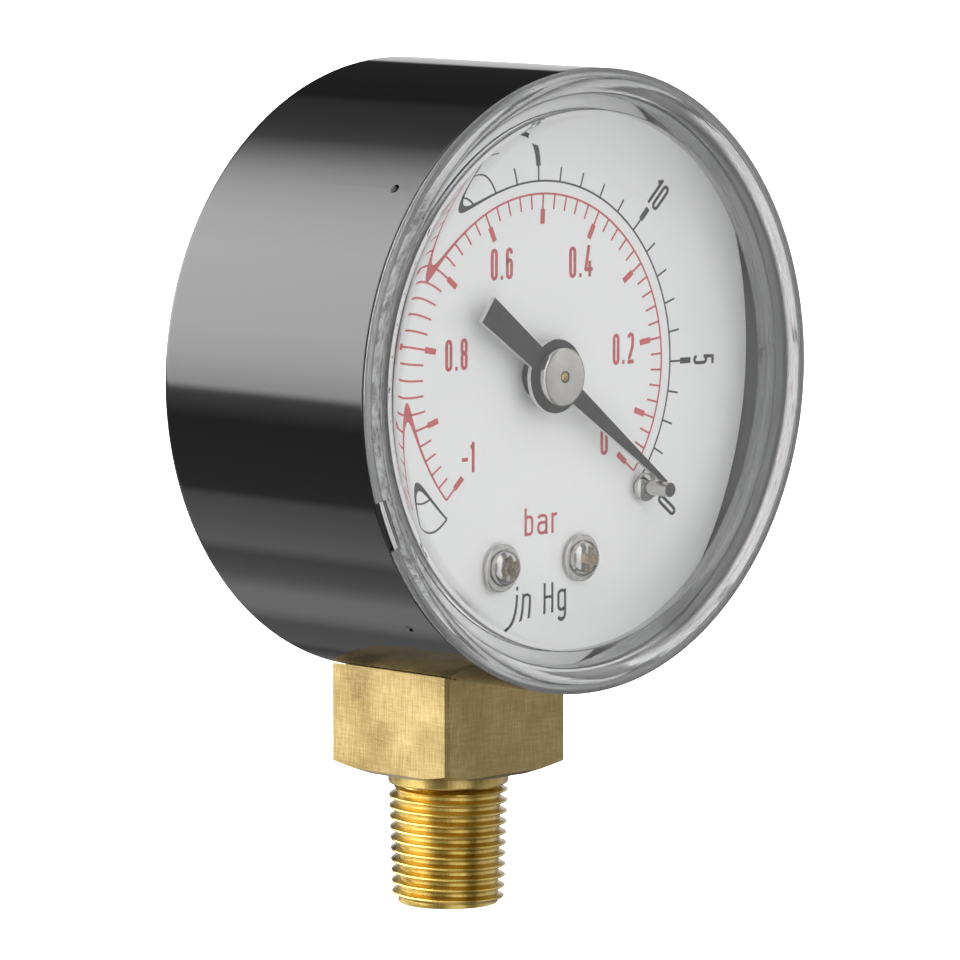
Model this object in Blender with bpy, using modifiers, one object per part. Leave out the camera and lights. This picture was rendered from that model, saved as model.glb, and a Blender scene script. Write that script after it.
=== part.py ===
"""A 50 mm dial vacuum gauge with a bottom connection, built from its separate pieces.

Frame: metres, +Z up, the window faces -Y, and the origin is the centre of the stem's lower end face.
Depths are measured back (+Y) from the case's front edge. Places across the gauge are (x, z) from the
case's centre as seen from the front, and angles turn counter-clockwise from +X in that view.
"""

import math

import bpy
from mathutils import Matrix, Vector

MM = 0.001
GAP = 0.3 * MM              # air left between pieces that touch
RUNNING_GAP = 0.1 * MM      # between a shaft and its bearing hole

# Case and frame
CASE_RADIUS = 25.7 * MM
CASE_WALL = 0.6 * MM
CASE_LENGTH = 23.6 * MM
CASE_CORNER = 1.2 * MM
CASE_Z = 45.1 * MM
FRONT_Y = -16.5 * MM
CASE_SEGMENTS = 64

# Window
WINDOW_RADIUS = 25.7 * MM
WINDOW_FLAT_RADIUS = 23.75 * MM
WINDOW_THICKNESS = 1.65 * MM
WINDOW_BEAD = 0.55 * MM
WINDOW_SKIRT_RADIUS = 24.9 * MM
WINDOW_SKIRT_DEPTH = 5.0 * MM
WINDOW_RIB_RADIUS = 21.1 * MM
WINDOW_RIB_DEPTH = 3.2 * MM
NOTCH_ANGLE = 203.1
NOTCH_WIDTH = 4.4 * MM
NOTCH_DEPTH = 0.87 * MM
SNAP_PITS = ((48.0, 3.0), (139.5, 2.65), (227.9, 3.5), (319.0, 3.0))   # angle, depth in mm
SNAP_RADIUS = 0.45 * MM

# Dial and pointer
DIAL_DEPTH = 6.67 * MM
DIAL_RADIUS = 24.7 * MM
DIAL_THICKNESS = 0.5 * MM
DIAL_HOLE_RADIUS = 1.95 * MM
ARBOR_RISE = 0.175 * MM      # the movement's centre above the case's
ARBOR_RADIUS = 0.6 * MM
ARBOR_TIP_RADIUS = 0.4 * MM
ARBOR_TIP_DEPTH = 3.5 * MM
ARBOR_END_DEPTH = 15.0 * MM
POINTER_ANGLE = -37.1       # at rest, on the stop pin
POINTER_DEPTH = 4.55 * MM
POINTER_THICKNESS = 0.4 * MM
POINTER_LENGTH = 16.4 * MM
POINTER_TAIL = 9.9 * MM
POINTER_DISC_RADIUS = 3.05 * MM
HUB_RADIUS = 2.43 * MM
HUB_DEPTH = 3.6 * MM
STOP_PIN_ORBIT = 15.83 * MM
STOP_PIN_RADIUS = 0.62 * MM
STOP_PIN_DEPTH = 3.1 * MM
DIAL_SCREW_X = 4.63 * MM
DIAL_SCREW_Z = -15.42 * MM

# Movement
MODULE = 0.2 * MM
PINION_TEETH = 10
SECTOR_TEETH = 100          # of the full wheel that the sector is cut from
SECTOR_ANGLE = -55.0        # direction from the arbor to the sector's shaft
FIRST_TOOTH, LAST_TOOTH = -1, 9
PINION_DEPTHS = (9.7 * MM, 11.7 * MM)
SECTOR_DEPTHS = (10.2 * MM, 11.2 * MM)
LINK_DEPTHS = (11.5 * MM, 12.1 * MM)
FRONT_PLATE_DEPTHS = (7.6 * MM, 9.2 * MM)
BACK_PLATE_DEPTHS = (13.9 * MM, 14.7 * MM)
SHAFT_RADIUS = 0.6 * MM
TAIL_RADIUS = 3.49 * MM     # from the sector's shaft to the link's pin
TAIL_ANGLE = -44.3
LINK_EYE_RADIUS = 1.2 * MM
LINK_HOLE_RADIUS = 0.75 * MM
LINK_PIN_RADIUS = 0.45 * MM
PILLARS = ((-5.6 * MM, -8.5 * MM), (9.0 * MM, -4.5 * MM))
PILLAR_RADIUS = 1.2 * MM

# Bourdon tube
TUBE_RADIUS = 18.0 * MM
TUBE_WIDTH = 6.4 * MM
TUBE_HEIGHT = 1.8 * MM
TUBE_WALL = 0.25 * MM
TUBE_DEPTH = 16.5 * MM      # of its middle plane, which holds the stem's axis
TUBE_TIP_ANGLE = -22.0
TUBE_SWEEP = 283.0
TIP_PIN_ORBIT = 14.5 * MM
TIP_PIN_ANGLE = -35.0
TUBE_FREE_SWEEP = 266.0     # the stretch outside the socket, which bends

# Socket and stem
BLOCK_SIDE = 14.0 * MM
BLOCK_BOTTOM = 11.3 * MM
BLOCK_CHAMFER_RADIUS = 6.9 * MM
BLOCK_CHAMFER_SLOPE = 0.268     # a 15 degree turned chamfer
NECK_HALF_WIDTH = 6.0 * MM
NECK_REAR = 6.15 * MM
NECK_TOP = -15.7 * MM       # from the case's centre
PAD_TOP = -13.4 * MM
PAD_REAR = -4.3 * MM
BORE_RADIUS = 1.5 * MM
THREAD_RADIUS = 5.06 * MM
THREAD_PITCH = 0.907 * MM
THREAD_DEPTH = 0.581 * MM
THREAD_TURNS = 10
THREAD_TAPER = 1 / 32       # loss of radius along the length, 1 in 16 on diameter
COLLAR_LENGTH = 0.75 * MM
STEM_END_RADIUS = 4.25 * MM
BACK_SCREW_X = 3.8 * MM
BACK_SCREW_Z = -19.4 * MM

PARTS = "pressure_gauge"
CUTTERS = "cutters"
FACE_FRONT = Matrix.Rotation(math.pi / 2, 4, "X")


def world(x, depth, z):
    """The point at (x, z) from the case's centre, at a depth behind its front edge."""
    return Vector((x, FRONT_Y + depth, CASE_Z + z))


def polar(radius, degrees, centre=(0.0, 0.0)):
    angle = math.radians(degrees)
    return (centre[0] + radius * math.cos(angle), centre[1] + radius * math.sin(angle))


def arc(radius, start, end, count, centre=(0.0, 0.0)):
    step = (end - start) / count
    return [polar(radius, start + step * i, centre) for i in range(count + 1)]


def circle(centre, radius, count=24):
    return arc(radius, 0, 360, count, centre)[:-1]


def turned_points(points, degrees):
    angle = math.radians(degrees)
    c, s = math.cos(angle), math.sin(angle)
    return [(c * x - s * y, s * x + c * y) for x, y in points]


# ---------------------------------------------------------------- objects


def start():
    for old in list(bpy.data.objects):
        bpy.data.objects.remove(old, do_unlink=True)
    for name in (PARTS, CUTTERS):
        if name not in bpy.data.collections:
            bpy.context.scene.collection.children.link(bpy.data.collections.new(name))


def material(name, colour, roughness, metallic=0.0, alpha=1.0):
    made = bpy.data.materials.new(name)
    made.use_nodes = True
    shader = made.node_tree.nodes["Principled BSDF"]
    shader.inputs["Base Color"].default_value = (*colour, 1.0)
    shader.inputs["Roughness"].default_value = roughness
    shader.inputs["Metallic"].default_value = metallic
    shader.inputs["Alpha"].default_value = alpha
    return made


def add(name, data, place, turn=None):
    """Links a new piece, with its material to come from dress()."""
    piece = bpy.data.objects.new(name, data)
    bpy.data.collections[PARTS].objects.link(piece)
    piece.matrix_world = Matrix.Translation(place) @ (turn or Matrix.Identity(4))
    return piece


def dress(piece, colour, roughness, metallic=0.0, alpha=1.0):
    piece.data.materials.clear()
    piece.data.materials.append(material(piece.name, colour, roughness, metallic, alpha))
    return piece


def brass(piece):
    return dress(piece, (0.62, 0.45, 0.16), 0.32, 1.0)


def nickel(piece):
    return dress(piece, (0.66, 0.64, 0.60), 0.28, 1.0)


def turned(name, profile, place, turn=FACE_FRONT, steps=32, sweep=360.0, closed=False):
    """A profile of (radius, height) turned about its own Z; its outer side runs downwards."""
    mesh = bpy.data.meshes.new(name)
    corners = [(radius, 0.0, height) for radius, height in profile]
    edges = [(i, i + 1) for i in range(len(corners) - 1)]
    if closed:
        edges.append((len(corners) - 1, 0))
    mesh.from_pydata(corners, edges, [])
    piece = add(name, mesh, place, turn)
    screw = piece.modifiers.new("turn", "SCREW")
    screw.angle = math.radians(sweep)
    screw.steps = steps
    screw.render_steps = steps
    screw.use_merge_vertices = sweep == 360.0
    screw.merge_threshold = 0.00001
    screw.use_smooth_shade = True
    return piece


def flat(name, outline, holes, depths, pivot=(0.0, 0.0)):
    """A sheet or block of constant outline between two depths, with its origin at the pivot."""
    curve = bpy.data.curves.new(name, "CURVE")
    curve.dimensions = "2D"
    curve.fill_mode = "BOTH"
    curve.extrude = (depths[1] - depths[0]) / 2
    for loop in [outline, *holes]:
        spline = curve.splines.new("POLY")
        spline.points.add(len(loop) - 1)
        for point, (x, z) in zip(spline.points, loop):
            point.co = (x - pivot[0], z - pivot[1], 0.0, 1.0)
        spline.use_cyclic_u = True
    middle = (depths[0] + depths[1]) / 2
    return add(name, curve, world(pivot[0], middle, pivot[1]), FACE_FRONT)


def as_mesh(piece):
    """Swaps a curve for its mesh, with the caps welded on, so that it can be cut or joined."""
    bpy.context.view_layer.update()
    evaluated = piece.evaluated_get(bpy.context.evaluated_depsgraph_get())
    mesh = bpy.data.meshes.new_from_object(evaluated)
    name, place, old = piece.name, piece.matrix_world.copy(), piece.data
    bpy.data.objects.remove(piece, do_unlink=True)
    bpy.data.curves.remove(old)
    solid = add(name, mesh, place.to_translation(), place.to_quaternion().to_matrix().to_4x4())
    weld = solid.modifiers.new("weld", "WELD")
    weld.merge_threshold = 0.000001
    return solid


def box(name, low, high):
    """A box between two corners in the world frame."""
    low, high = Vector(low), Vector(high)
    bpy.ops.mesh.primitive_cube_add(size=1.0, location=(low + high) / 2)
    piece = bpy.context.object
    piece.name = name
    for vertex in piece.data.vertices:
        vertex.co = Vector(a * b for a, b in zip(vertex.co, high - low))
    move_to(piece, PARTS)
    return piece


def rod(name, start_point, end_point, radius, sides=24):
    """A plain cylinder between two world points, for drilling."""
    start_point, end_point = Vector(start_point), Vector(end_point)
    axis = end_point - start_point
    bpy.ops.mesh.primitive_cylinder_add(vertices=sides, radius=radius, depth=axis.length)
    piece = bpy.context.object
    piece.name = name
    turn = axis.to_track_quat("Z", "Y").to_matrix().to_4x4()
    piece.matrix_world = Matrix.Translation((start_point + end_point) / 2) @ turn
    move_to(piece, PARTS)
    return piece


def move_to(piece, collection):
    for holder in list(piece.users_collection):
        holder.objects.unlink(piece)
    bpy.data.collections[collection].objects.link(piece)


def combine(piece, tool, operation):
    """Cuts a tool from a piece, joins it on, or keeps what they share."""
    step = piece.modifiers.new(tool.name, "BOOLEAN")
    step.operation = operation
    step.solver = "EXACT"
    step.object = tool
    move_to(tool, CUTTERS)
    tool.hide_render = True
    tool.display_type = "WIRE"


# ---------------------------------------------------------------- case and window


def case():
    outer, inner = CASE_RADIUS, CASE_RADIUS - CASE_WALL
    floor = -CASE_LENGTH + CASE_WALL
    bend = CASE_CORNER
    inner_bend = bend - CASE_WALL / 2
    profile = [(0.0, floor)]
    profile += arc(inner_bend, 270, 360, 4, (inner - inner_bend, floor + inner_bend))
    profile += [(inner, 0.0), (outer - 0.15 * MM, 0.0), (outer, -0.15 * MM)]
    profile += arc(bend, 360, 270, 5, (outer - bend, -CASE_LENGTH + bend))
    profile += [(0.0, -CASE_LENGTH)]
    shell = turned("case", profile, world(0, 0, 0), steps=CASE_SEGMENTS)
    reach = NECK_HALF_WIDTH + GAP
    below = CASE_Z - CASE_RADIUS
    front, rear = -BLOCK_SIDE / 2 - GAP, NECK_REAR + GAP
    slot = box("case_slot", (-reach, front, below - 2 * MM), (reach, rear, below + 4 * MM))
    combine(shell, slot, "DIFFERENCE")
    for index, (angle, depth) in enumerate(SNAP_PITS):
        near, far = polar(inner - 1 * MM, angle), polar(outer + 1 * MM, angle)
        punch = rod(f"snap_punch_{index}", world(near[0], depth * MM, near[1]),
                    world(far[0], depth * MM, far[1]), SNAP_RADIUS, 12)
        combine(shell, punch, "DIFFERENCE")
    for side in (-1, 1):
        x = side * BACK_SCREW_X
        drill = rod(f"case_drill_{side}", world(x, CASE_LENGTH - 2 * MM, BACK_SCREW_Z),
                    world(x, CASE_LENGTH + 1 * MM, BACK_SCREW_Z), 1.0 * MM + GAP)
        combine(shell, drill, "DIFFERENCE")
    return dress(shell, (0.012, 0.012, 0.013), 0.18)


def window():
    flange = 0.1 * MM
    bead = WINDOW_RADIUS - WINDOW_FLAT_RADIUS
    crown = WINDOW_RADIUS - bead / 2
    rib, rib_end = WINDOW_RIB_RADIUS, -WINDOW_RIB_DEPTH
    skirt, skirt_end = WINDOW_SKIRT_RADIUS, -WINDOW_SKIRT_DEPTH
    skirt_inner = skirt - 1.0 * MM
    profile = [(0.0, 0.0)]
    for x, height in arc(1.0, 180, 0, 8):
        profile.append((crown + x * bead / 2, flange * (1 + x) + height * WINDOW_BEAD))
    profile += [(WINDOW_RADIUS, flange), (skirt, flange), (skirt, skirt_end)]
    profile += [(skirt_inner, skirt_end), (skirt_inner, rib_end), (rib, rib_end)]
    profile += [(rib, -WINDOW_THICKNESS - 0.4 * MM), (rib - 0.4 * MM, -WINDOW_THICKNESS)]
    profile += [(0.0, -WINDOW_THICKNESS)]
    lens = turned("window", profile, world(0, 0, 0), steps=CASE_SEGMENTS)
    mouth = WINDOW_RADIUS - NOTCH_DEPTH
    pry = box("pry_notch", (mouth, -NOTCH_WIDTH / 2, -1 * MM),
              (WINDOW_RADIUS + 1 * MM, NOTCH_WIDTH / 2, 2 * MM))
    turn = Matrix.Rotation(math.radians(NOTCH_ANGLE), 4, "Z")
    pry.matrix_world = Matrix.Translation(world(0, 0, 0)) @ FACE_FRONT @ turn @ pry.matrix_world
    combine(lens, pry, "DIFFERENCE")
    return dress(lens, (0.9, 0.93, 0.94), 0.05, alpha=0.25)


# ---------------------------------------------------------------- dial and its fasteners


def stop_pin_place():
    beside = STOP_PIN_RADIUS + RUNNING_GAP + 0.2 * MM
    angle = POINTER_ANGLE - math.degrees(math.asin(beside / STOP_PIN_ORBIT))
    return polar(STOP_PIN_ORBIT, angle, (0.0, ARBOR_RISE))


def dial():
    holes = [circle((0.0, ARBOR_RISE), DIAL_HOLE_RADIUS, 32), circle(stop_pin_place(), 0.8 * MM, 16)]
    holes += [circle((side * DIAL_SCREW_X, DIAL_SCREW_Z), 0.9 * MM + GAP) for side in (-1, 1)]
    outline = circle((0.0, 0.0), DIAL_RADIUS, CASE_SEGMENTS)
    return dress(flat("dial", outline, holes, (DIAL_DEPTH, DIAL_DEPTH + DIAL_THICKNESS)),
                 (0.80, 0.80, 0.80), 0.45)


def pan_screw(name, place, turn, shank_length):
    """A cross-recessed pan head screw; its head sits at the place and its shank runs down -Z."""
    head, shank = 1.95 * MM, 0.9 * MM
    profile = [(0.0, 1.25 * MM), (0.9 * MM, 1.2 * MM), (1.5 * MM, 0.95 * MM), (1.8 * MM, 0.5 * MM)]
    profile += [(head, 0.35 * MM), (head, 0.0), (shank, 0.0), (shank, -shank_length + shank)]
    profile += [(0.0, -shank_length)]
    screw = turned(name, profile, place, turn, steps=20)
    for index, (wide, deep) in enumerate(((1.9 * MM, 0.42 * MM), (0.42 * MM, 1.9 * MM))):
        blade = box(f"{name}_recess_{index}", (-wide / 2, -deep / 2, 0.55 * MM),
                    (wide / 2, deep / 2, 2.0 * MM))
        blade.matrix_world = Matrix.Translation(place) @ turn @ blade.matrix_world
        combine(screw, blade, "DIFFERENCE")
    return nickel(screw)


def dial_screws():
    for name, side, twist in (("dial_screw_left", -1, 20), ("dial_screw_right", 1, -12)):
        place = world(side * DIAL_SCREW_X, DIAL_DEPTH - GAP, DIAL_SCREW_Z)
        turn = FACE_FRONT @ Matrix.Rotation(math.radians(twist), 4, "Z")
        pan_screw(name, place, turn, 5.2 * MM)


def back_screws():
    face_back = Matrix.Rotation(-math.pi / 2, 4, "X")
    for name, side, twist in (("back_screw_left", -1, 35), ("back_screw_right", 1, 8)):
        place = world(side * BACK_SCREW_X, CASE_LENGTH + GAP, BACK_SCREW_Z)
        turn = face_back @ Matrix.Rotation(math.radians(twist), 4, "Z")
        pan_screw(name, place, turn, 2.9 * MM)


def stop_pin():
    x, z = stop_pin_place()
    front = DIAL_DEPTH - GAP
    top = front - STOP_PIN_DEPTH
    profile = [(0.0, top), (STOP_PIN_RADIUS - 0.1 * MM, top), (STOP_PIN_RADIUS, top - 0.1 * MM)]
    profile += [(STOP_PIN_RADIUS, 0.55 * MM), (1.0 * MM, 0.5 * MM), (1.2 * MM, 0.3 * MM)]
    profile += [(1.2 * MM, 0.0), (0.5 * MM, 0.0), (0.5 * MM, -1.0 * MM), (0.0, -1.0 * MM)]
    return nickel(turned("stop_pin", profile, world(x, front, z), steps=18))


# ---------------------------------------------------------------- pointer and its arbor


def arbor_axis(depth=0.0):
    return world(0.0, depth, ARBOR_RISE)


def pointer():
    root, tip, tail_root, tail_end = 0.83 * MM, 0.17 * MM, 1.08 * MM, 1.19 * MM
    disc = POINTER_DISC_RADIUS
    narrow = math.degrees(math.asin(root / disc))
    wide = math.degrees(math.asin(tail_root / disc))
    outline = [(POINTER_LENGTH - tip, tip)]
    outline += arc(disc, narrow, 180 - wide, 14)
    outline += [(-POINTER_TAIL, tail_end), (-POINTER_TAIL, -tail_end)]
    outline += arc(disc, 180 + wide, 360 - narrow, 14)
    outline += [(POINTER_LENGTH - tip, -tip), (POINTER_LENGTH, 0.0)]
    centre = (0.0, ARBOR_RISE)
    outline = [(x, z + ARBOR_RISE) for x, z in turned_points(outline, POINTER_ANGLE)]
    depths = (POINTER_DEPTH, POINTER_DEPTH + POINTER_THICKNESS)
    return dress(flat("pointer", outline, [circle(centre, 1.4 * MM)], depths, centre),
                 (0.10, 0.10, 0.10), 0.5)


def pointer_hub():
    """A spool through the pointer: the bright cap in front and the clenched flange behind."""
    cap_back = HUB_DEPTH - POINTER_DEPTH + 0.2 * MM
    behind = HUB_DEPTH - POINTER_DEPTH - POINTER_THICKNESS - 0.2 * MM
    bore = ARBOR_TIP_RADIUS + RUNNING_GAP
    neck, flange, end = 1.2 * MM, 1.7 * MM, behind - 0.7 * MM
    profile = [(bore, 0.0), (HUB_RADIUS - 0.22 * MM, 0.0), (HUB_RADIUS, -0.18 * MM)]
    profile += [(HUB_RADIUS, cap_back), (neck, cap_back), (neck, behind), (flange, behind)]
    profile += [(flange, end), (bore, end)]
    hub = turned("pointer_hub", profile, arbor_axis(HUB_DEPTH), steps=28, closed=True)
    return nickel(hub)


def pinion_outline():
    pitch_radius = MODULE * PINION_TEETH / 2
    root, tip = pitch_radius - 0.28 * MM, pitch_radius + 0.18 * MM
    outline = []
    for tooth in range(PINION_TEETH):
        middle = SECTOR_ANGLE + 360 / PINION_TEETH * (tooth + 0.5)
        for radius, half in ((root, 0.15), (tip, 0.07), (tip, -0.07), (root, -0.15)):
            outline.append(polar(radius, middle - math.degrees(half * MM / radius)))
    return outline


def pinion_arbor():
    tip, body = ARBOR_TIP_RADIUS, ARBOR_RADIUS
    front, end = -ARBOR_TIP_DEPTH, -ARBOR_END_DEPTH
    profile = [(0.0, front + 0.08 * MM), (0.25 * MM, front), (tip, front - 0.1 * MM)]
    profile += [(tip, -6.2 * MM), (body, -6.6 * MM), (body, end + 0.1 * MM)]
    profile += [(body - 0.1 * MM, end), (0.0, end)]
    arbor = turned("pinion_arbor", profile, arbor_axis(), steps=20)
    centred = [(x, z + ARBOR_RISE) for x, z in pinion_outline()]
    leaves = as_mesh(flat("pinion_leaves", centred, [], PINION_DEPTHS, (0.0, ARBOR_RISE)))
    combine(arbor, leaves, "UNION")
    return brass(arbor)


def hairspring_collet():
    inner, outer = ARBOR_RADIUS + RUNNING_GAP, 1.2 * MM
    profile = [(inner, 0.0), (outer, 0.0), (outer, -1.0 * MM), (inner, -1.0 * MM)]
    return brass(turned("hairspring_collet", profile, arbor_axis(12.0 * MM), steps=20, closed=True))


def hairspring():
    """A flat spiral ribbon from the collet out to its stud on the back plate."""
    turns, per_turn, start_radius, end_radius = 5, 14, 1.55 * MM, 4.4 * MM
    half, count = 0.06 * MM, turns * per_turn
    spiral = []
    for index in range(count + 1):
        share = index / count
        spiral.append((start_radius + (end_radius - start_radius) * share, 200 - 360 * turns * share))
    outer = [polar(radius + half, angle, (0.0, ARBOR_RISE)) for radius, angle in spiral]
    inner = [polar(radius - half, angle, (0.0, ARBOR_RISE)) for radius, angle in reversed(spiral)]
    depths = (12.2 * MM, 12.7 * MM)
    return dress(flat("hairspring", outer + inner, [], depths, (0.0, ARBOR_RISE)),
                 (0.55, 0.45, 0.30), 0.3, 1.0)


def hairspring_stud():
    x, z = polar(5.2 * MM, 200, (0.0, ARBOR_RISE))
    profile = [(0.0, 0.0), (0.45 * MM, 0.0), (0.45 * MM, -1.3 * MM), (0.0, -1.3 * MM)]
    return brass(turned("hairspring_stud", profile, world(x, 12.0 * MM, z), steps=16))


# ---------------------------------------------------------------- movement


def sector_centre():
    distance = MODULE * (PINION_TEETH + SECTOR_TEETH) / 2
    return polar(distance, SECTOR_ANGLE, (0.0, ARBOR_RISE))


def tail_place():
    return polar(TAIL_RADIUS, TAIL_ANGLE, sector_centre())


def tip_pin_place():
    return polar(TIP_PIN_ORBIT, TIP_PIN_ANGLE, (0.0, ARBOR_RISE))


def tip_pole():
    """The centroid of the tube's free arc, about which its tip turns as the tube curls."""
    half = math.radians(TUBE_FREE_SWEEP / 2)
    return polar(TUBE_RADIUS * math.sin(half) / half, TUBE_TIP_ANGLE + TUBE_FREE_SWEEP / 2,
                 (0.0, ARBOR_RISE))


def sector_gear():
    centre = sector_centre()
    pitch_radius = MODULE * SECTOR_TEETH / 2
    root, tip = pitch_radius - 0.26 * MM, pitch_radius + 0.18 * MM
    step = 360 / SECTOR_TEETH
    mesh_angle = SECTOR_ANGLE + 180
    hub = 1.6 * MM
    outline = [polar(hub, 100, centre), polar(root - 1 * MM, mesh_angle - 2.2 * step, centre)]
    for tooth in range(FIRST_TOOTH, LAST_TOOTH + 1):
        middle = mesh_angle + tooth * step
        for radius, half in ((root, 0.16), (tip, 0.07), (tip, -0.07), (root, -0.16)):
            outline.append(polar(radius, middle - math.degrees(half * MM / radius), centre))
    last = mesh_angle + (LAST_TOOTH + 1) * step
    outline += [polar(root - 1 * MM, last - 0.3 * step, centre)]
    outline += arc(hub, 190, 255, 5, centre)
    outline += arc(LINK_EYE_RADIUS, TAIL_ANGLE - 90, TAIL_ANGLE + 90, 10, tail_place())
    outline += arc(hub, 20, 70, 4, centre)
    slot = [(0.42, 0.2), (0.80, 0.14), (0.80, -0.10), (0.42, -0.16)]
    opening = [polar(root * share, mesh_angle + 14.4 + 60 * lean, centre) for share, lean in slot]
    holes = [circle(centre, SHAFT_RADIUS + RUNNING_GAP, 20), opening]
    holes += [circle(tail_place(), LINK_HOLE_RADIUS, 20)]
    return brass(flat("sector_gear", outline, holes, SECTOR_DEPTHS, centre))


def sector_shaft():
    x, z = sector_centre()
    front, end = 7.7 * MM, 14.6 * MM
    length = end - front
    profile = [(0.0, 0.0), (SHAFT_RADIUS, 0.0), (SHAFT_RADIUS, -length), (0.0, -length)]
    return nickel(turned("sector_shaft", profile, world(x, front, z), steps=20))


def link():
    start_point, end_point = tail_place(), tip_pin_place()
    heading = math.degrees(math.atan2(end_point[1] - start_point[1], end_point[0] - start_point[0]))
    outline = arc(LINK_EYE_RADIUS, heading + 90, heading + 270, 10, start_point)
    outline += arc(LINK_EYE_RADIUS, heading - 90, heading + 90, 10, end_point)
    holes = [circle(place, LINK_HOLE_RADIUS, 20) for place in (start_point, end_point)]
    return brass(flat("link", outline, holes, LINK_DEPTHS, start_point))


def headed_pin(name, place, front, length, head_in_front):
    """A small shouldered pin along the depth, with a head at one end."""
    shank, head, thick = LINK_PIN_RADIUS, 1.0 * MM, 0.4 * MM
    if head_in_front:
        profile = [(0.0, 0.0), (head, 0.0), (head, -thick), (shank, -thick), (shank, -length)]
    else:
        profile = [(0.0, 0.0), (shank, 0.0), (shank, thick - length), (head, thick - length)]
        profile += [(head, -length)]
    profile += [(0.0, -length)]
    return nickel(turned(name, profile, world(place[0], front, place[1]), steps=18))


def front_plate():
    outline = [(-6.3, -17.2), (6.3, -17.2), (6.6, -13.2), (9.4, -10.0), (10.9, -4.4), (8.8, -2.4)]
    outline += [(3.2, 3.0), (-3.2, 3.0), (-7.4, -7.4), (-7.3, -9.8)]
    holes = [circle((0.0, ARBOR_RISE), ARBOR_RADIUS + RUNNING_GAP, 20)]
    holes += [circle(sector_centre(), SHAFT_RADIUS + RUNNING_GAP, 20)]
    holes += [circle(place, 0.9 * MM, 16) for place in PILLARS]
    holes += [circle((side * DIAL_SCREW_X, DIAL_SCREW_Z), 0.9 * MM + GAP) for side in (-1, 1)]
    corners = [(x * MM, z * MM) for x, z in outline]
    return brass(flat("front_plate", corners, holes, FRONT_PLATE_DEPTHS))


def back_plate():
    outline = [(-7.3, -10.0), (3.0, -11.6), (9.4, -10.4), (10.9, -4.4), (8.8, -2.4)]
    outline += [(3.2, 3.0), (-3.2, 3.0), (-7.4, -7.4)]
    holes = [circle((0.0, ARBOR_RISE), ARBOR_RADIUS + RUNNING_GAP, 20)]
    holes += [circle(sector_centre(), SHAFT_RADIUS + RUNNING_GAP, 20)]
    holes += [circle(place, 0.9 * MM, 16) for place in PILLARS]
    corners = [(x * MM, z * MM) for x, z in outline]
    return brass(flat("back_plate", corners, holes, BACK_PLATE_DEPTHS))


def pillars_and_screws():
    front = FRONT_PLATE_DEPTHS[1] + GAP
    length = BACK_PLATE_DEPTHS[0] - GAP - front
    spigot, bore = 0.6 * MM, 0.85 * MM
    for side, (x, z) in zip(("left", "right"), PILLARS):
        profile = [(0.0, 1.3 * MM), (spigot, 1.3 * MM), (spigot, 0.0), (PILLAR_RADIUS, 0.0)]
        profile += [(PILLAR_RADIUS, -length), (bore, -length), (bore, -1.7 * MM), (0.0, -1.7 * MM)]
        brass(turned(f"pillar_{side}", profile, world(x, front, z), steps=20))
        behind = BACK_PLATE_DEPTHS[1] + GAP
        shank, head, thick = 0.55 * MM, 1.3 * MM, 0.7 * MM
        profile = [(0.0, 3.0 * MM), (shank, 3.0 * MM), (shank, 0.0), (head, 0.0)]
        profile += [(head, -thick), (0.0, -thick)]
        screw = turned(f"plate_screw_{side}", profile, world(x, behind, z), steps=20)
        low = world(x, behind, z) + Vector((-2.0 * MM, 0.4 * MM, -0.15 * MM))
        high = world(x, behind, z) + Vector((2.0 * MM, 1.5 * MM, 0.15 * MM))
        combine(screw, box(f"plate_screw_{side}_slot", low, high), "DIFFERENCE")
        nickel(screw)


# ---------------------------------------------------------------- Bourdon tube


def bourdon_tube():
    """A flattened tube bent round the movement, open at its root and closed by the tip."""
    round_end, straight = TUBE_HEIGHT / 2, TUBE_WIDTH / 2 - TUBE_HEIGHT / 2
    profile = arc(round_end, 180, 0, 6, (TUBE_RADIUS, straight))
    profile += arc(round_end, 0, -180, 6, (TUBE_RADIUS, -straight))
    turn = FACE_FRONT @ Matrix.Rotation(math.radians(TUBE_TIP_ANGLE), 4, "Z")
    tube = turned("bourdon_tube", profile, world(0.0, TUBE_DEPTH, ARBOR_RISE), turn, steps=40,
                  sweep=TUBE_SWEEP, closed=True)
    wall = tube.modifiers.new("wall", "SOLIDIFY")
    wall.thickness = TUBE_WALL
    wall.offset = -1.0
    return brass(tube)


def tube_tip():
    """The plug soldered on the tube's end, with an inward lug for the link's pin."""
    pole, pin = tip_pole(), tip_pin_place()
    centre = (0.0, ARBOR_RISE)
    gap_angle = math.degrees(GAP / TUBE_RADIUS)
    start_angle, end_angle = TUBE_TIP_ANGLE - gap_angle, TUBE_TIP_ANGLE - 8.5
    half = TUBE_HEIGHT / 2 + 0.4 * MM
    outline = arc(TUBE_RADIUS + half, end_angle, start_angle, 4, centre)
    outline += arc(TUBE_RADIUS - half, start_angle, end_angle, 4, centre)
    reach = TUBE_WIDTH / 2 + 0.3 * MM
    plug = as_mesh(flat("tube_tip", outline, [], (TUBE_DEPTH - reach, TUBE_DEPTH + reach), pole))
    root = polar(TUBE_RADIUS - 0.2 * MM, TUBE_TIP_ANGLE - 6.0, centre)
    heading = math.degrees(math.atan2(pin[1] - root[1], pin[0] - root[0]))
    lug = arc(1.5 * MM, heading - 90, heading + 90, 10, pin)
    lug += arc(1.5 * MM, heading + 90, heading + 270, 10, root)
    hole = circle(pin, LINK_PIN_RADIUS + GAP, 20)
    depths = (LINK_DEPTHS[1] + GAP, LINK_DEPTHS[1] + GAP + 1.0 * MM)
    combine(plug, as_mesh(flat("tip_lug", lug, [hole], depths, pole)), "UNION")
    return brass(plug)


# ---------------------------------------------------------------- socket


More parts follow.
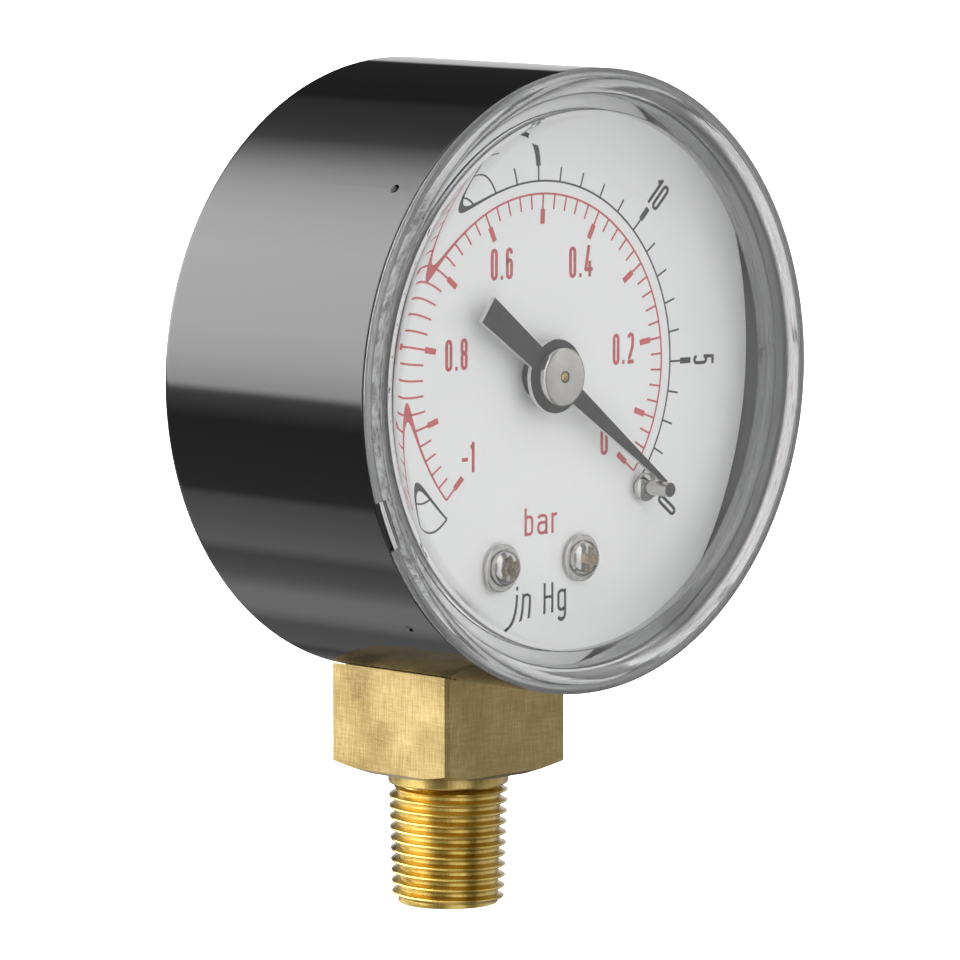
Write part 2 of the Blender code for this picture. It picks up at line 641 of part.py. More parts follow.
def stem_profile():
    """The threaded stem from inside the block down to its end face, as (radius, height)."""
    crest = THREAD_RADIUS
    profile = [(0.0, BLOCK_BOTTOM + 1 * MM), (crest, BLOCK_BOTTOM + 1 * MM)]
    height = BLOCK_BOTTOM - COLLAR_LENGTH
    profile.append((crest, height))
    for _ in range(THREAD_TURNS):
        height -= THREAD_PITCH
        crest -= THREAD_PITCH * THREAD_TAPER
        middle = height + THREAD_PITCH / 2
        profile.append((crest - THREAD_DEPTH, middle))
        profile += [(crest, height + 0.1 * MM), (crest, height - 0.1 * MM)]
    profile += [(STEM_END_RADIUS, 0.0), (0.0, 0.0)]
    return profile


def socket():
    half = BLOCK_SIDE / 2
    block = box("socket", (-half, -half, BLOCK_BOTTOM), (half, half, CASE_Z - 20 * MM))
    edges = block.modifiers.new("edges", "BEVEL")
    edges.width = 0.3 * MM
    edges.segments = 1
    edges.limit_method = "ANGLE"
    upright = Matrix.Identity(4)
    high = CASE_Z - 19 * MM
    reach, low = 12 * MM, BLOCK_BOTTOM - 0.05 * MM
    rise = (reach - BLOCK_CHAMFER_RADIUS) * BLOCK_CHAMFER_SLOPE
    shoulder = [(0.0, high), (reach, high), (reach, low + rise), (BLOCK_CHAMFER_RADIUS, low), (0.0, low)]
    combine(block, turned("block_shoulder", shoulder, (0, 0, 0), upright, 48), "INTERSECT")
    saddle = rod("case_saddle", world(0, -5 * MM, 0), world(0, CASE_LENGTH + 5 * MM, 0),
                 CASE_RADIUS + 0.1 * MM, CASE_SEGMENTS)
    combine(block, saddle, "DIFFERENCE")
    wide, low = NECK_HALF_WIDTH, BLOCK_BOTTOM + 3 * MM
    neck = box("socket_neck", (-wide, -half, low), (wide, NECK_REAR, CASE_Z + NECK_TOP))
    combine(block, neck, "UNION")
    pad = box("dial_pad", (-wide, -half, low + 1 * MM), (wide, PAD_REAR, CASE_Z + PAD_TOP))
    combine(block, pad, "UNION")
    combine(block, turned("stem", stem_profile(), (0, 0, 0), upright, 24), "UNION")
    port_top = CASE_Z - TUBE_RADIUS - 0.6 * MM
    combine(block, rod("port", (0, 0, -1 * MM), (0, 0, port_top), BORE_RADIUS, 20), "DIFFERENCE")
    cross = rod("cross_port", (-5 * MM, 0, port_top - 1 * MM), (0.5 * MM, 0, port_top - 1 * MM),
                0.7 * MM, 16)
    combine(block, cross, "DIFFERENCE")
    combine(block, tube_seat(), "DIFFERENCE")
    for side in (-1, 1):
        x = side * DIAL_SCREW_X
        drill = rod(f"dial_tap_{side}", world(x, 8 * MM, DIAL_SCREW_Z),
                    world(x, 11.7 * MM, DIAL_SCREW_Z), 0.9 * MM + GAP)
        combine(block, drill, "DIFFERENCE")
        x = side * BACK_SCREW_X
        drill = rod(f"back_tap_{side}", world(x, CASE_LENGTH - 3.1 * MM, BACK_SCREW_Z),
                    world(x, CASE_LENGTH + 1 * MM, BACK_SCREW_Z), 0.9 * MM + GAP)
        combine(block, drill, "DIFFERENCE")
    return brass(block)


def tube_seat():
    """The slot that takes the tube's root."""
    half = TUBE_HEIGHT / 2 + GAP
    reach = TUBE_WIDTH / 2 + GAP
    root_angle = TUBE_TIP_ANGLE + TUBE_SWEEP
    centre = (0.0, ARBOR_RISE)
    outline = arc(TUBE_RADIUS + half, root_angle + 1, root_angle - 30, 10, centre)
    outline += arc(TUBE_RADIUS - half, root_angle - 30, root_angle + 1, 10, centre)
    depths = (TUBE_DEPTH - reach, TUBE_DEPTH + reach)
    return as_mesh(flat("tube_seat", outline, [], depths))


def build():
    start()
    case()
    window()
    dial()
    dial_screws()
    stop_pin()
    pointer()
    pointer_hub()
    pinion_arbor()
    hairspring_collet()
    hairspring()
    hairspring_stud()
    sector_gear()
    sector_shaft()
    link()
    headed_pin("link_screw", tail_place(), SECTOR_DEPTHS[0] - 0.3 * MM, 2.9 * MM, False)
    headed_pin("tip_pin", tip_pin_place(), LINK_DEPTHS[0] - GAP - 0.4 * MM, 2.4 * MM, True)
    front_plate()
    back_plate()
    pillars_and_screws()
    bourdon_tube()
    tube_tip()
    socket()
    back_screws()


build()
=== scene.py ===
"""The looks of a small dial vacuum gauge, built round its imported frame.

Metres, +Z up, the window faces -Y and the stem's lower end sits at the origin. Places on the dial
are (x, z) from the case's middle as it is read, and depths run back (+Y) from the case's front edge.
"""

import math

import bpy
from mathutils import Matrix, Vector


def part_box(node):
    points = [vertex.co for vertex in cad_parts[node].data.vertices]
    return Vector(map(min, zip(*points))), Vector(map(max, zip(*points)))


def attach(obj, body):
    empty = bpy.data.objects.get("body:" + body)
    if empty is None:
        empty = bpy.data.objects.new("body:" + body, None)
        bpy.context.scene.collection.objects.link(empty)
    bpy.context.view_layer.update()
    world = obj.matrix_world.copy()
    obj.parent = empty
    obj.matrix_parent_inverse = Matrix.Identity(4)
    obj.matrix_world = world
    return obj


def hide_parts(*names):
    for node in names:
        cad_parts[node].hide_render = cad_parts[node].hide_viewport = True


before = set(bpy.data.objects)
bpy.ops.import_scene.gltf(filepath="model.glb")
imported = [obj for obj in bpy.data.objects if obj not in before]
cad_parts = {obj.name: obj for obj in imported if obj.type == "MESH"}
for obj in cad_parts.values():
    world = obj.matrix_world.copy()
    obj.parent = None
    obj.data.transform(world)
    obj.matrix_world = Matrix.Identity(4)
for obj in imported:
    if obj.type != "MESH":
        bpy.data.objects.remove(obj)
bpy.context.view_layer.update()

MM = 0.001
TURN = 2 * math.pi

case_low, case_high = (Vector(corner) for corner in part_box("case"))
CASE_RADIUS = (case_high.x - case_low.x) / 2
CASE_Z = (case_high.z + case_low.z) / 2
FRONT = case_low.y
CASE_LENGTH = case_high.y - case_low.y
DIAL_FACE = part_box("dial")[0][1] - FRONT
ARBOR_RISE = 0.175      # the pointer's axis above the case's middle, in millimetres
SCALE_RISE = 0.54       # the printed scales' centre above the case's middle, in millimetres
WELD = 0.0005 * MM      # points closer than this are one point
BACK = Vector((0, 1, 0))
UP = Vector((0, 0, 1))


def spot(x, depth, z):
    """The point at (x, z) in millimetres from the case's middle, at a depth in millimetres."""
    return Vector((x * MM, FRONT + depth * MM, CASE_Z + z * MM))


def around(radius, degrees, rise=0.0):
    """The (x, z) of a place at a radius and an angle, counted anticlockwise from the right."""
    angle = math.radians(degrees)
    return radius * math.cos(angle), radius * math.sin(angle) + rise


# ---------------------------------------------------------------- working by hand


def pick(*pieces):
    """Leaves just these pieces selected, with the first one active."""
    if bpy.context.object and bpy.context.object.mode != "OBJECT":
        bpy.ops.object.mode_set(mode="OBJECT")
    bpy.ops.object.select_all(action="DESELECT")
    for piece in pieces:
        piece.hide_set(False)
        piece.select_set(True)
    bpy.context.view_layer.objects.active = pieces[0]


def fresh(name):
    """Names the new primitive and opens it for editing, all selected."""
    piece = bpy.context.object
    piece.name = piece.data.name = name
    bpy.ops.object.mode_set(mode="EDIT")
    bpy.ops.mesh.select_all(action="SELECT")
    return piece


def clear_selection():
    """Leaves nothing selected, because an operator works on all that is."""
    bpy.ops.object.select_all(action="DESELECT")


def flag_by_vertices(piece):
    """Opens editing with just the vertices that were flagged, and what lies between them."""
    wanted = [vertex.select for vertex in piece.data.vertices]
    bpy.ops.object.mode_set(mode="EDIT")
    bpy.ops.mesh.select_mode(type="VERT")
    bpy.ops.mesh.select_all(action="DESELECT")
    bpy.ops.object.mode_set(mode="OBJECT")
    for vertex, flag in zip(piece.data.vertices, wanted):
        vertex.select = flag
    bpy.ops.object.mode_set(mode="EDIT")


def settle(piece, angle=32.0):
    """Closes editing, puts the piece's place in its mesh, and smooths its gentle edges."""
    pick(piece)
    bpy.ops.object.transform_apply(location=True, rotation=True, scale=True)
    if angle:
        bpy.ops.object.shade_smooth_by_angle(angle=math.radians(angle))
    return piece


def bend(centre_r, centre_d, radius, start, end, count):
    """Points of a rounded corner in a turned profile; 0 degrees points outwards, 90 to the back."""
    points = []
    for index in range(count + 1):
        angle = math.radians(start + (end - start) * index / count)
        points.append((centre_r + radius * math.cos(angle), centre_d + radius * math.sin(angle)))
    return points


def turned(name, profile, centre, axis, steps=96, ring=False, angle=32.0):
    """Draws a profile of (radius, distance along the axis) in millimetres and spins it round."""
    out = Vector((1, 0, 0))
    spots = [centre + out * (radius * MM) + axis * (along * MM) for radius, along in profile]
    clear_selection()
    bpy.ops.mesh.primitive_plane_add(size=MM, location=spots[0])
    piece = fresh(name)
    bpy.ops.mesh.merge(type="CENTER")
    for here, there in zip(spots, spots[1:]):
        bpy.ops.mesh.extrude_region_move(TRANSFORM_OT_translate={"value": there - here})
    bpy.ops.mesh.select_all(action="SELECT")
    if ring:
        bpy.ops.object.mode_set(mode="OBJECT")
        verts = piece.data.vertices
        for edge in piece.data.edges:
            edge.select = False
        for vertex in verts:
            vertex.select = vertex.index in (0, len(verts) - 1)
        bpy.ops.object.mode_set(mode="EDIT")
        bpy.ops.mesh.select_mode(type="VERT")
        bpy.ops.mesh.edge_face_add()
        bpy.ops.mesh.select_all(action="SELECT")
    bpy.ops.mesh.spin(steps=steps, angle=TURN, center=centre, axis=axis)
    bpy.ops.mesh.select_all(action="SELECT")
    bpy.ops.mesh.remove_doubles(threshold=WELD)
    bpy.ops.mesh.normals_make_consistent(inside=False)
    return settle(piece, angle)


def merge_copy(node, name):
    """A welded copy of a CAD node, to be finished further."""
    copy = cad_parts[node].copy()
    copy.data = copy.data.copy()
    copy.name = copy.data.name = name
    for key in list(copy.keys()):
        del copy[key]
    bpy.context.scene.collection.objects.link(copy)
    copy.parent = None
    copy.matrix_world = Matrix.Identity(4)
    pick(copy)
    bpy.ops.object.mode_set(mode="EDIT")
    bpy.ops.mesh.select_all(action="SELECT")
    bpy.ops.mesh.customdata_custom_splitnormals_clear()
    bpy.ops.mesh.remove_doubles(threshold=WELD)
    bpy.ops.mesh.tris_convert_to_quads()
    return settle(copy, 0)


def combine(piece, tool, operation):
    """Cuts a tool from a piece, or joins it on, and puts the tool away."""
    pick(piece)
    step = piece.modifiers.new("shape", "BOOLEAN")
    step.operation = operation
    step.solver = "EXACT"
    step.object = tool
    bpy.ops.object.modifier_apply(modifier=step.name)
    bpy.data.objects.remove(tool, do_unlink=True)
    return piece


def block(name, low, high):
    """A block between two corners, as a tool for cutting."""
    low, high = Vector(low), Vector(high)
    clear_selection()
    bpy.ops.mesh.primitive_cube_add(size=1.0, location=(low + high) / 2, scale=high - low)
    piece = bpy.context.object
    piece.name = name
    return settle(piece, 0)


def drill(name, start, end, radius, sides=32):
    """A round tool between two points."""
    start, end = Vector(start), Vector(end)
    axis = end - start
    turn = axis.to_track_quat("Z", "Y").to_euler()
    clear_selection()
    bpy.ops.mesh.primitive_cylinder_add(vertices=sides, radius=radius, depth=axis.length,
                                        location=(start + end) / 2, rotation=turn)
    piece = bpy.context.object
    piece.name = name
    return settle(piece, 0)


def shape(piece, body, material, stands_for=()):
    """Dresses a finished piece and fixes it to its body."""
    piece.data.materials.clear()
    for one in material if isinstance(material, (list, tuple)) else [material]:
        piece.data.materials.append(one)
    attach(piece, body)
    if stands_for:
        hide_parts(*stands_for)
    return piece


# ---------------------------------------------------------------- finishes


def set_stops(ramp, stops):
    """Lays out a ramp's colours in order."""
    ramp.elements[0].position, ramp.elements[0].color = stops[0]
    ramp.elements[1].position, ramp.elements[1].color = stops[-1]
    for position, colour in stops[1:-1]:
        ramp.elements.new(position).color = colour


class Finish:
    """A node material with short ways to add the nodes that its look needs."""

    def __init__(self, name, colour, roughness, metallic=0.0):
        self.material = bpy.data.materials.new(name)
        self.material.use_nodes = True
        self.tree = self.material.node_tree
        self.shader = self.tree.nodes["Principled BSDF"]
        self.set("Base Color", (*colour, 1.0))
        self.set("Roughness", roughness)
        self.set("Metallic", metallic)

    def set(self, socket, value):
        self.shader.inputs[socket].default_value = value

    def node(self, kind, **inputs):
        made = self.tree.nodes.new(kind)
        for socket, value in inputs.items():
            made.inputs[socket.replace("_", " ")].default_value = value
        return made

    def link(self, source, target):
        self.tree.links.new(source, target)

    def place(self, scale=(1, 1, 1), turn=(0, 0, 0), shift=(0, 0, 0)):
        """Object coordinates, stretched, turned and shifted to suit the grain."""
        where = self.tree.nodes.new("ShaderNodeTexCoord")
        mapping = self.tree.nodes.new("ShaderNodeMapping")
        mapping.inputs["Scale"].default_value = scale
        mapping.inputs["Rotation"].default_value = turn
        mapping.inputs["Location"].default_value = shift
        self.link(where.outputs["Object"], mapping.inputs["Vector"])
        return mapping.outputs["Vector"]

    def noise(self, vector, scale, detail=4.0, rough=0.55):
        made = self.node("ShaderNodeTexNoise", Scale=scale, Detail=detail, Roughness=rough)
        self.link(vector, made.inputs["Vector"])
        return made.outputs["Fac"]

    def ramp(self, value, stops):
        made = self.tree.nodes.new("ShaderNodeValToRGB")
        set_stops(made.color_ramp, [(position, (*colour, 1.0)) for position, colour in stops])
        self.link(value, made.inputs["Fac"])
        return made.outputs["Color"]

    def spread(self, value, low, high, from_low=0.3, from_high=0.7):
        made = self.node("ShaderNodeMapRange")
        for socket, number in (("From Min", from_low), ("From Max", from_high),
                               ("To Min", low), ("To Max", high)):
            made.inputs[socket].default_value = number
        self.link(value, made.inputs["Value"])
        return made.outputs["Result"]

    def mix(self, factor, first, second, kind="MIX"):
        made = self.tree.nodes.new("ShaderNodeMix")
        made.data_type = "RGBA"
        made.blend_type = kind
        for socket, value in ((0, factor), (6, first), (7, second)):
            if isinstance(value, (tuple, float, int)):
                made.inputs[socket].default_value = value
            else:
                self.link(value, made.inputs[socket])
        return made.outputs[2]

    def rising(self, value, start, end):
        """0 below the start, 1 past the end."""
        return self.spread(value, 0, 1, start, end)

    def falling(self, value, start, end):
        """1 below the start, 0 past the end."""
        return self.spread(value, 1, 0, start, end)

    def bump(self, heights, distances, strength=1.0):
        """Adds one or more height patterns, each over the last."""
        normal = None
        for height, reach in zip(heights, distances):
            made = self.node("ShaderNodeBump", Strength=strength, Distance=reach)
            self.link(height, made.inputs["Height"])
            if normal is not None:
                self.link(normal, made.inputs["Normal"])
            normal = made.outputs["Normal"]
        self.link(normal, self.shader.inputs["Normal"])

    def product(self, first, second):
        made = self.node("ShaderNodeMath")
        made.operation = "MULTIPLY"
        self.link(first, made.inputs[0])
        self.link(second, made.inputs[1])
        return made.outputs[0]

    def into(self, socket, output):
        self.link(output, self.shader.inputs[socket])
        return self


def black_enamel():
    made = Finish("black_enamel", (0.0022, 0.0022, 0.0024), 0.1)
    along = made.place(scale=(1, 0.06, 1))
    streaks = made.noise(along, 2600, 3)
    cloud = made.noise(made.place(), 120, 4)
    made.into("Roughness", made.spread(cloud, 0.035, 0.07))
    peel = made.noise(made.place(), 900, 2)
    made.bump((peel, streaks), (0.0000012, 0.0000008), 0.35)
    return made.material


def clear_plastic():
    """Clear moulding, a little milky in its rolled bead and scored on the back of its inner rim.
    On the left that rim's back is painted near black: painted shade.

    The skirt presses on the case; the right half of its outer wall is painted grey as painted shade.
    """
    clear, milky = (0.985, 0.99, 0.99), (0.87, 0.875, 0.88)
    # Painted shade: mid grey on the skirt's right half, near black on the rim's back at the left.
    painted_shade_black, paint_and_painted_shade = (0.015, 0.015, 0.015, 1.0), (0.25, 0.25, 0.25, 1.0)
    made = Finish("clear_polycarbonate", clear, 0.0)
    made.set("IOR", 1.585)
    length = made.node("ShaderNodeVectorMath")
    length.operation = "LENGTH"
    made.link(made.place(scale=(1, 0, 1), shift=(0, 0, -CASE_Z)), length.inputs[0])
    radius = length.outputs["Value"]
    split = made.node("ShaderNodeSeparateXYZ")
    made.link(made.place(), split.inputs[0])
    across, depth = split.outputs["X"], split.outputs["Y"]

    bead = made.product(made.rising(radius, 23.68 * MM, 23.9 * MM),
                        made.falling(depth, FRONT + 0.3 * MM, FRONT + 0.5 * MM))
    # The rim's back, on the left only, is darkened near black: painted shade over a scored bump.
    rim_back = made.product(made.rising(radius, 22.25 * MM, 22.4 * MM),
                            made.rising(depth, FRONT + 2.5 * MM, FRONT + 3.0 * MM))
    rim_back = made.product(rim_back, made.falling(across, -18.5 * MM, -14.5 * MM))
    # The skirt's outer wall, on the right half only, goes opaque mid grey: painted shade.
    skirt = made.product(made.rising(radius, 24.82 * MM, 24.87 * MM),
                         made.rising(depth, FRONT + 0.8 * MM, FRONT + 1.2 * MM))
    skirt = made.product(skirt, made.rising(across, 6.0 * MM, 12.0 * MM))

    drift = made.node("ShaderNodeVectorMath")
    drift.operation = "MULTIPLY_ADD"
    made.link(radius, drift.inputs[0])
    drift.inputs[1].default_value = (2600, 2600, 2600)
    made.link(made.place(scale=(160, 160, 160)), drift.inputs[2])
    flow = made.noise(drift.outputs["Vector"], 1.0, 4, 0.6)
    cloud = made.noise(made.place(), 260, 4, 0.6)
    scores = made.noise(made.place(scale=(1, 1, 0.3)), 2600, 4, 0.7)

    milk = made.product(bead, made.spread(made.mix(0.45, flow, cloud), 0.12, 0.8, 0.62, 0.78))
    made.link(made.product(made.spread(milk, 1.0, 0.42, 0.0, 1.0), made.falling(skirt, 0.0, 1.0)),
              made.shader.inputs["Transmission Weight"])
    rim_painted_shade = made.product(rim_back, made.spread(scores, 0.35, 1.0, 0.35, 0.6))
    base = made.mix(rim_painted_shade, made.ramp(bead, [(0.0, clear), (1.0, milky)]), painted_shade_black)
    made.into("Base Color", made.mix(skirt, base, paint_and_painted_shade))
    made.into("Roughness", made.spread(rim_back, 0.0, 0.14, 0.0, 1.0))
    made.bump((made.product(rim_back, scores), made.product(bead, flow)),
              (0.12 * MM, 0.014 * MM), 0.8)
    return made.material


def case_inside():
    made = Finish("case_inside_grey", (0.16, 0.16, 0.16), 0.5)
    cloud = made.noise(made.place(), 150, 4)
    made.into("Base Color", made.ramp(cloud, [(0.3, (0.14, 0.14, 0.14)),
                                              (0.7, (0.18, 0.18, 0.18))]))
    made.bump((made.noise(made.place(), 1500, 2),), (0.000002,), 0.4)
    return made.material


def dial_white():
    made = Finish("dial_white_enamel", (0.83, 0.83, 0.825), 0.42)
    cloud = made.noise(made.place(), 60, 3)
    made.into("Base Color", made.ramp(cloud, [(0.3, (0.815, 0.815, 0.812)),
                                              (0.7, (0.845, 0.845, 0.842))]))
    made.bump((made.noise(made.place(), 3500, 2),), (0.000001,), 0.3)
    return made.material


def ink(name, colour, lift):
    """Printing ink with a fine grain, lighter by the lift at its thinnest."""
    made = Finish(name, colour, 0.4)
    grain = made.noise(made.place(), 2500, 3)
    lighter = tuple(min(1.0, channel + lift) for channel in colour)
    made.into("Base Color", made.ramp(grain, [(0.35, colour), (0.75, lighter)]))
    return made.material


def pointer_black():
    made = Finish("pointer_matt_black", (0.04, 0.04, 0.04), 0.5)
    grain = made.noise(made.place(), 1800, 4)
    made.into("Base Color", made.ramp(grain, [(0.3, (0.014, 0.014, 0.0145)),
                                              (0.75, (0.025, 0.025, 0.025))]))
    made.bump((grain,), (0.000004,), 0.5)
    return made.material


def metal(name, dark, light, rough, grain_scale=(1, 1, 1), size=900, relief=0.000002,
          metallic=1.0):
    """Bare metal with a faint drawn or turned grain."""
    made = Finish(name, light, rough, metallic)
    grain = made.noise(made.place(scale=grain_scale), size, 4)
    cloud = made.noise(made.place(), 140, 3)
    tone = made.ramp(made.mix(0.5, grain, cloud), [(0.3, dark), (0.7, light)])
    made.into("Base Color", tone)
    made.into("Roughness", made.spread(cloud, rough * 0.75, rough * 1.3))
    made.bump((grain,), (relief,), 0.5)
    return made.material


def socket_brass():
    """Sawn and milled brass: a fine crossed grain, the turned stem lighter by painted light."""
    made = Finish("socket_brass", (0.2, 0.14, 0.04), 0.3, 1.0)
    upright = made.noise(made.place(scale=(12, 12, 0.8)), 620, 5, 0.65)
    level = made.noise(made.place(scale=(1.2, 1.2, 14)), 520, 5, 0.65)
    cloud = made.noise(made.place(), 220, 4)
    grain = made.mix(0.38, upright, level)
    mottle = made.mix(0.35, grain, cloud)
    sawn = made.ramp(mottle, [(0.36, (0.20, 0.13, 0.032)), (0.5, (0.30, 0.21, 0.068)),
                              (0.64, (0.43, 0.335, 0.145))])
    # The turned stem's lighter, more golden tone is painted light.
    lathed_painted_light = made.ramp(mottle, [(0.34, (0.36, 0.225, 0.026)), (0.5, (0.60, 0.43, 0.085)),
                                (0.66, (0.78, 0.63, 0.24))])
    split = made.node("ShaderNodeSeparateXYZ")
    made.link(made.place(), split.inputs[0])
    tone = made.mix(made.rising(split.outputs["Z"], 9.6 * MM, 11.4 * MM), lathed_painted_light, sawn)
    made.set("Coat Weight", 0.8)
    made.set("Coat Roughness", 0.22)
    made.into("Base Color", tone)
    made.into("Roughness", made.spread(cloud, 0.24, 0.38))
    made.bump((grain, cloud), (0.000014, 0.000006), 0.8)
    return made.material


# ---------------------------------------------------------------- case


PUNCHED_PITS = ((48.0, 3.0), (139.5, 2.65), (227.9, 3.5), (319.0, 3.0))     # angle, depth


def case_shell(enamel, inside):
    """The drum, with its socket cut-out, its four punched pits and its back screws' holes."""
    radius, length = CASE_RADIUS / MM, CASE_LENGTH / MM
    wall, bend_out, bend_in = 0.6, 0.55, 0.3
    inner = radius - wall
    profile = [(0.0, length)]
    profile += [(radius - bend_out - 0.4, length)]
    profile += bend(radius - bend_out, length - bend_out, bend_out, 90, 0, 10)
    profile += [(radius, length - bend_out - 0.3), (radius, 0.5), (radius, 0.2)]
    profile += bend(radius - 0.12, 0.12, 0.12, 0, -90, 3)
    profile += bend(inner + 0.1, 0.1, 0.1, -90, -180, 2)
    profile += bend(inner - bend_in, length - wall - bend_in, bend_in, 0, 90, 6)
    profile += [(0.0, length - wall)]
    shell = turned("case_shell", profile, spot(0, 0, 0), BACK, 160)
    low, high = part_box("socket")
    floor = CASE_Z - CASE_RADIUS
    gap = 0.3 * MM
    neck = 6.0 * MM + gap
    combine(shell, block("cut_out", (-neck, low[1] - gap, floor - 2 * MM),
                         (neck, high[1] - 0.85 * MM + gap, floor + 4 * MM)), "DIFFERENCE")
    for angle, depth in PUNCHED_PITS:
        near, far = around(radius - 0.45, angle), around(radius + 1, angle)
        combine(shell, drill("punch", spot(near[0], depth, near[1]), spot(far[0], depth, far[1]),
                             0.42 * MM, 20), "DIFFERENCE")
    for name in ("back_screw_left", "back_screw_right"):
        corner, far_corner = (Vector(one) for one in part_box(name))
        middle = (corner + far_corner) / 2
        start, end = middle.copy(), middle.copy()
        start.y, end.y = case_high.y - 2 * MM, case_high.y + MM
        combine(shell, drill("hole", start, end, 1.3 * MM), "DIFFERENCE")
    settle(shell)
    shape(shell, "gauge", [enamel, inside], ["case"])
    middle = Vector((0, 0, CASE_Z))
    for face in shell.data.polygons:
        out = face.center - middle
        out.y = 0
        inward = out.length < CASE_RADIUS - 0.4 * MM and face.normal.dot(out) < 0
        back_wall = face.normal.y < -0.5 and face.center.y > FRONT + 2 * MM
        face.material_index = 1 if inward or back_wall else 0
    return shell


# ---------------------------------------------------------------- window


def window_lens(plastic):
    """The clear front: a flat plate, the bead rolled over the case, and the skirt inside it."""
    radius, flat, bead_height, bead_steps = 25.7, 23.75, 0.46, 16
    thick, fillet, rim_wall = 1.65, 0.14, 22.3
    level, hollow_from, hollow_rate = 18.1, 18.2, 0.0064
    profile = [(0.0, 0.0), (flat - 0.6, 0.0), (flat - 0.2, 0.0), (flat - 0.05, -0.03)]
    for index in range(1, bead_steps):
        share = index / bead_steps
        profile.append((flat + (radius - flat) * share,
                        -0.2 * share - bead_height * math.sin(math.pi * share) ** 0.75))
    profile += [(radius, -0.22), (radius, -0.12), (radius - 0.02, -0.1)]
    profile += [(24.9, -0.1), (24.9, 4.9), (24.8, 5.0), (24.0, 5.0), (23.9, 4.9), (23.9, 3.2)]
    profile += [(rim_wall + 0.2, 3.2), (rim_wall + 0.05, 3.15), (rim_wall, 3.0)]

    def hollow(reach):
        """The moulded plate thins a little towards its rim, which bends what is seen there."""
        return thick - hollow_rate * (reach - hollow_from) ** 3

    corner = rim_wall - fillet * 0.9
    profile += bend(rim_wall - fillet, hollow(corner) + fillet, fillet, 0, -75, 8)
    steps = 16
    for index in range(1, steps + 1):
        reach = corner - 0.15 - (corner - 0.15 - hollow_from) * index / steps
        profile.append((reach, hollow(reach)))
    profile += [(level, thick), (level - 0.4, thick), (0.0, thick)]
    lens = turned("window_lens", profile, spot(0, 0, 0), BACK, 192, angle=40)
    notch_angle, notch_bite, tool_length = 203.1, 0.87, 5.0
    x, z = around(radius - notch_bite + tool_length / 2, notch_angle)
    clear_selection()
    bpy.ops.mesh.primitive_cube_add(size=1.0, location=spot(x, -1.45, z),
                                    rotation=(0, -math.radians(notch_angle), 0),
                                    scale=(tool_length * MM, 3 * MM, 4.4 * MM))
    combine(lens, settle(bpy.context.object, 0), "DIFFERENCE")
    settle(lens, 40)
    return shape(lens, "gauge", plastic, ["window"])


# ---------------------------------------------------------------- dial


def dial_plate(white):
    """The dial, with its holes for the arbor, its two screws and the stop pin."""
    face = DIAL_FACE / MM
    profile = [(0.0, face), (23.6, face), (23.9, face), (24.1, face + 0.04), (24.6, face + 0.05)]
    profile += [(24.7, face + 0.15), (24.7, face + 0.4), (24.6, face + 0.5), (0.0, face + 0.5)]
    plate = turned("dial_plate", profile, spot(0, 0, 0), BACK, 160, angle=20)
    for x, z, radius in ((0, ARBOR_RISE, 1.95), (-4.63, -15.42, 1.2), (4.63, -15.42, 1.2)):
        combine(plate, drill("hole", spot(x, face - 1, z), spot(x, face + 2, z), radius * MM, 48),
                "DIFFERENCE")
    low, high = (Vector(one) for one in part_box("stop_pin"))
    x, z = (low.x + high.x) / 2 / MM, ((low.z + high.z) / 2 - CASE_Z) / MM
    combine(plate, drill("hole", spot(x, face - 1, z), spot(x, face + 2, z), 0.8 * MM),
            "DIFFERENCE")
    settle(plate, 20)
    return shape(plate, "gauge", white, ["dial"])


PRINT = 0.012           # how far the ink stands off the enamel, in millimetres
INK = PRINT - 0.002     # how thick it is


def stroke(inner, outer, degrees, width, rise=SCALE_RISE):
    """One straight printed stroke pointing out from the scale's centre."""
    x, z = around((inner + outer) / 2, degrees, rise)
    depth = DIAL_FACE / MM - PRINT
    clear_selection()
    bpy.ops.mesh.primitive_plane_add(size=MM, location=spot(x, depth, z),
                                     rotation=(math.pi / 2, 0, 0))
    piece = fresh("stroke")
    bpy.ops.transform.resize(value=(outer - inner, 1, width))
    bpy.ops.mesh.extrude_region_move(TRANSFORM_OT_translate={"value": (0, INK * MM, 0)})
    bpy.ops.mesh.select_all(action="SELECT")
    bpy.ops.transform.rotate(value=math.radians(degrees), orient_axis="Y",
                             center_override=spot(x, depth, z))
    bpy.ops.mesh.normals_make_consistent(inside=False)
    bpy.ops.object.mode_set(mode="OBJECT")
    return piece


def curved_stroke(radius, start, end, width):
    """A printed line along the scale, made by spinning one short stroke's end round."""
    depth = DIAL_FACE / MM - PRINT
    x, z = around(radius, start, SCALE_RISE)
    clear_selection()
    bpy.ops.mesh.primitive_plane_add(size=MM, location=spot(x, depth + INK / 2, z))
    piece = fresh("scale_arc")
    bpy.ops.transform.resize(value=(width, INK, 1))
    bpy.ops.transform.rotate(value=math.radians(start), orient_axis="Y",
                             center_override=spot(x, depth, z))
    centre = spot(0, depth, SCALE_RISE)
    bpy.ops.mesh.spin(steps=132, angle=math.radians(end - start), center=centre, axis=BACK)
    bpy.ops.mesh.select_all(action="SELECT")
    bpy.ops.mesh.remove_doubles(threshold=0.0002 * MM)
    bpy.ops.mesh.normals_make_consistent(inside=False)
    bpy.ops.object.mode_set(mode="OBJECT")
    return piece


def join(name, pieces):
    """Makes many small prints one piece."""
    pick(*pieces)
    bpy.ops.object.join()
    whole = bpy.context.object
    whole.name = whole.data.name = name
    return settle(whole, 0)


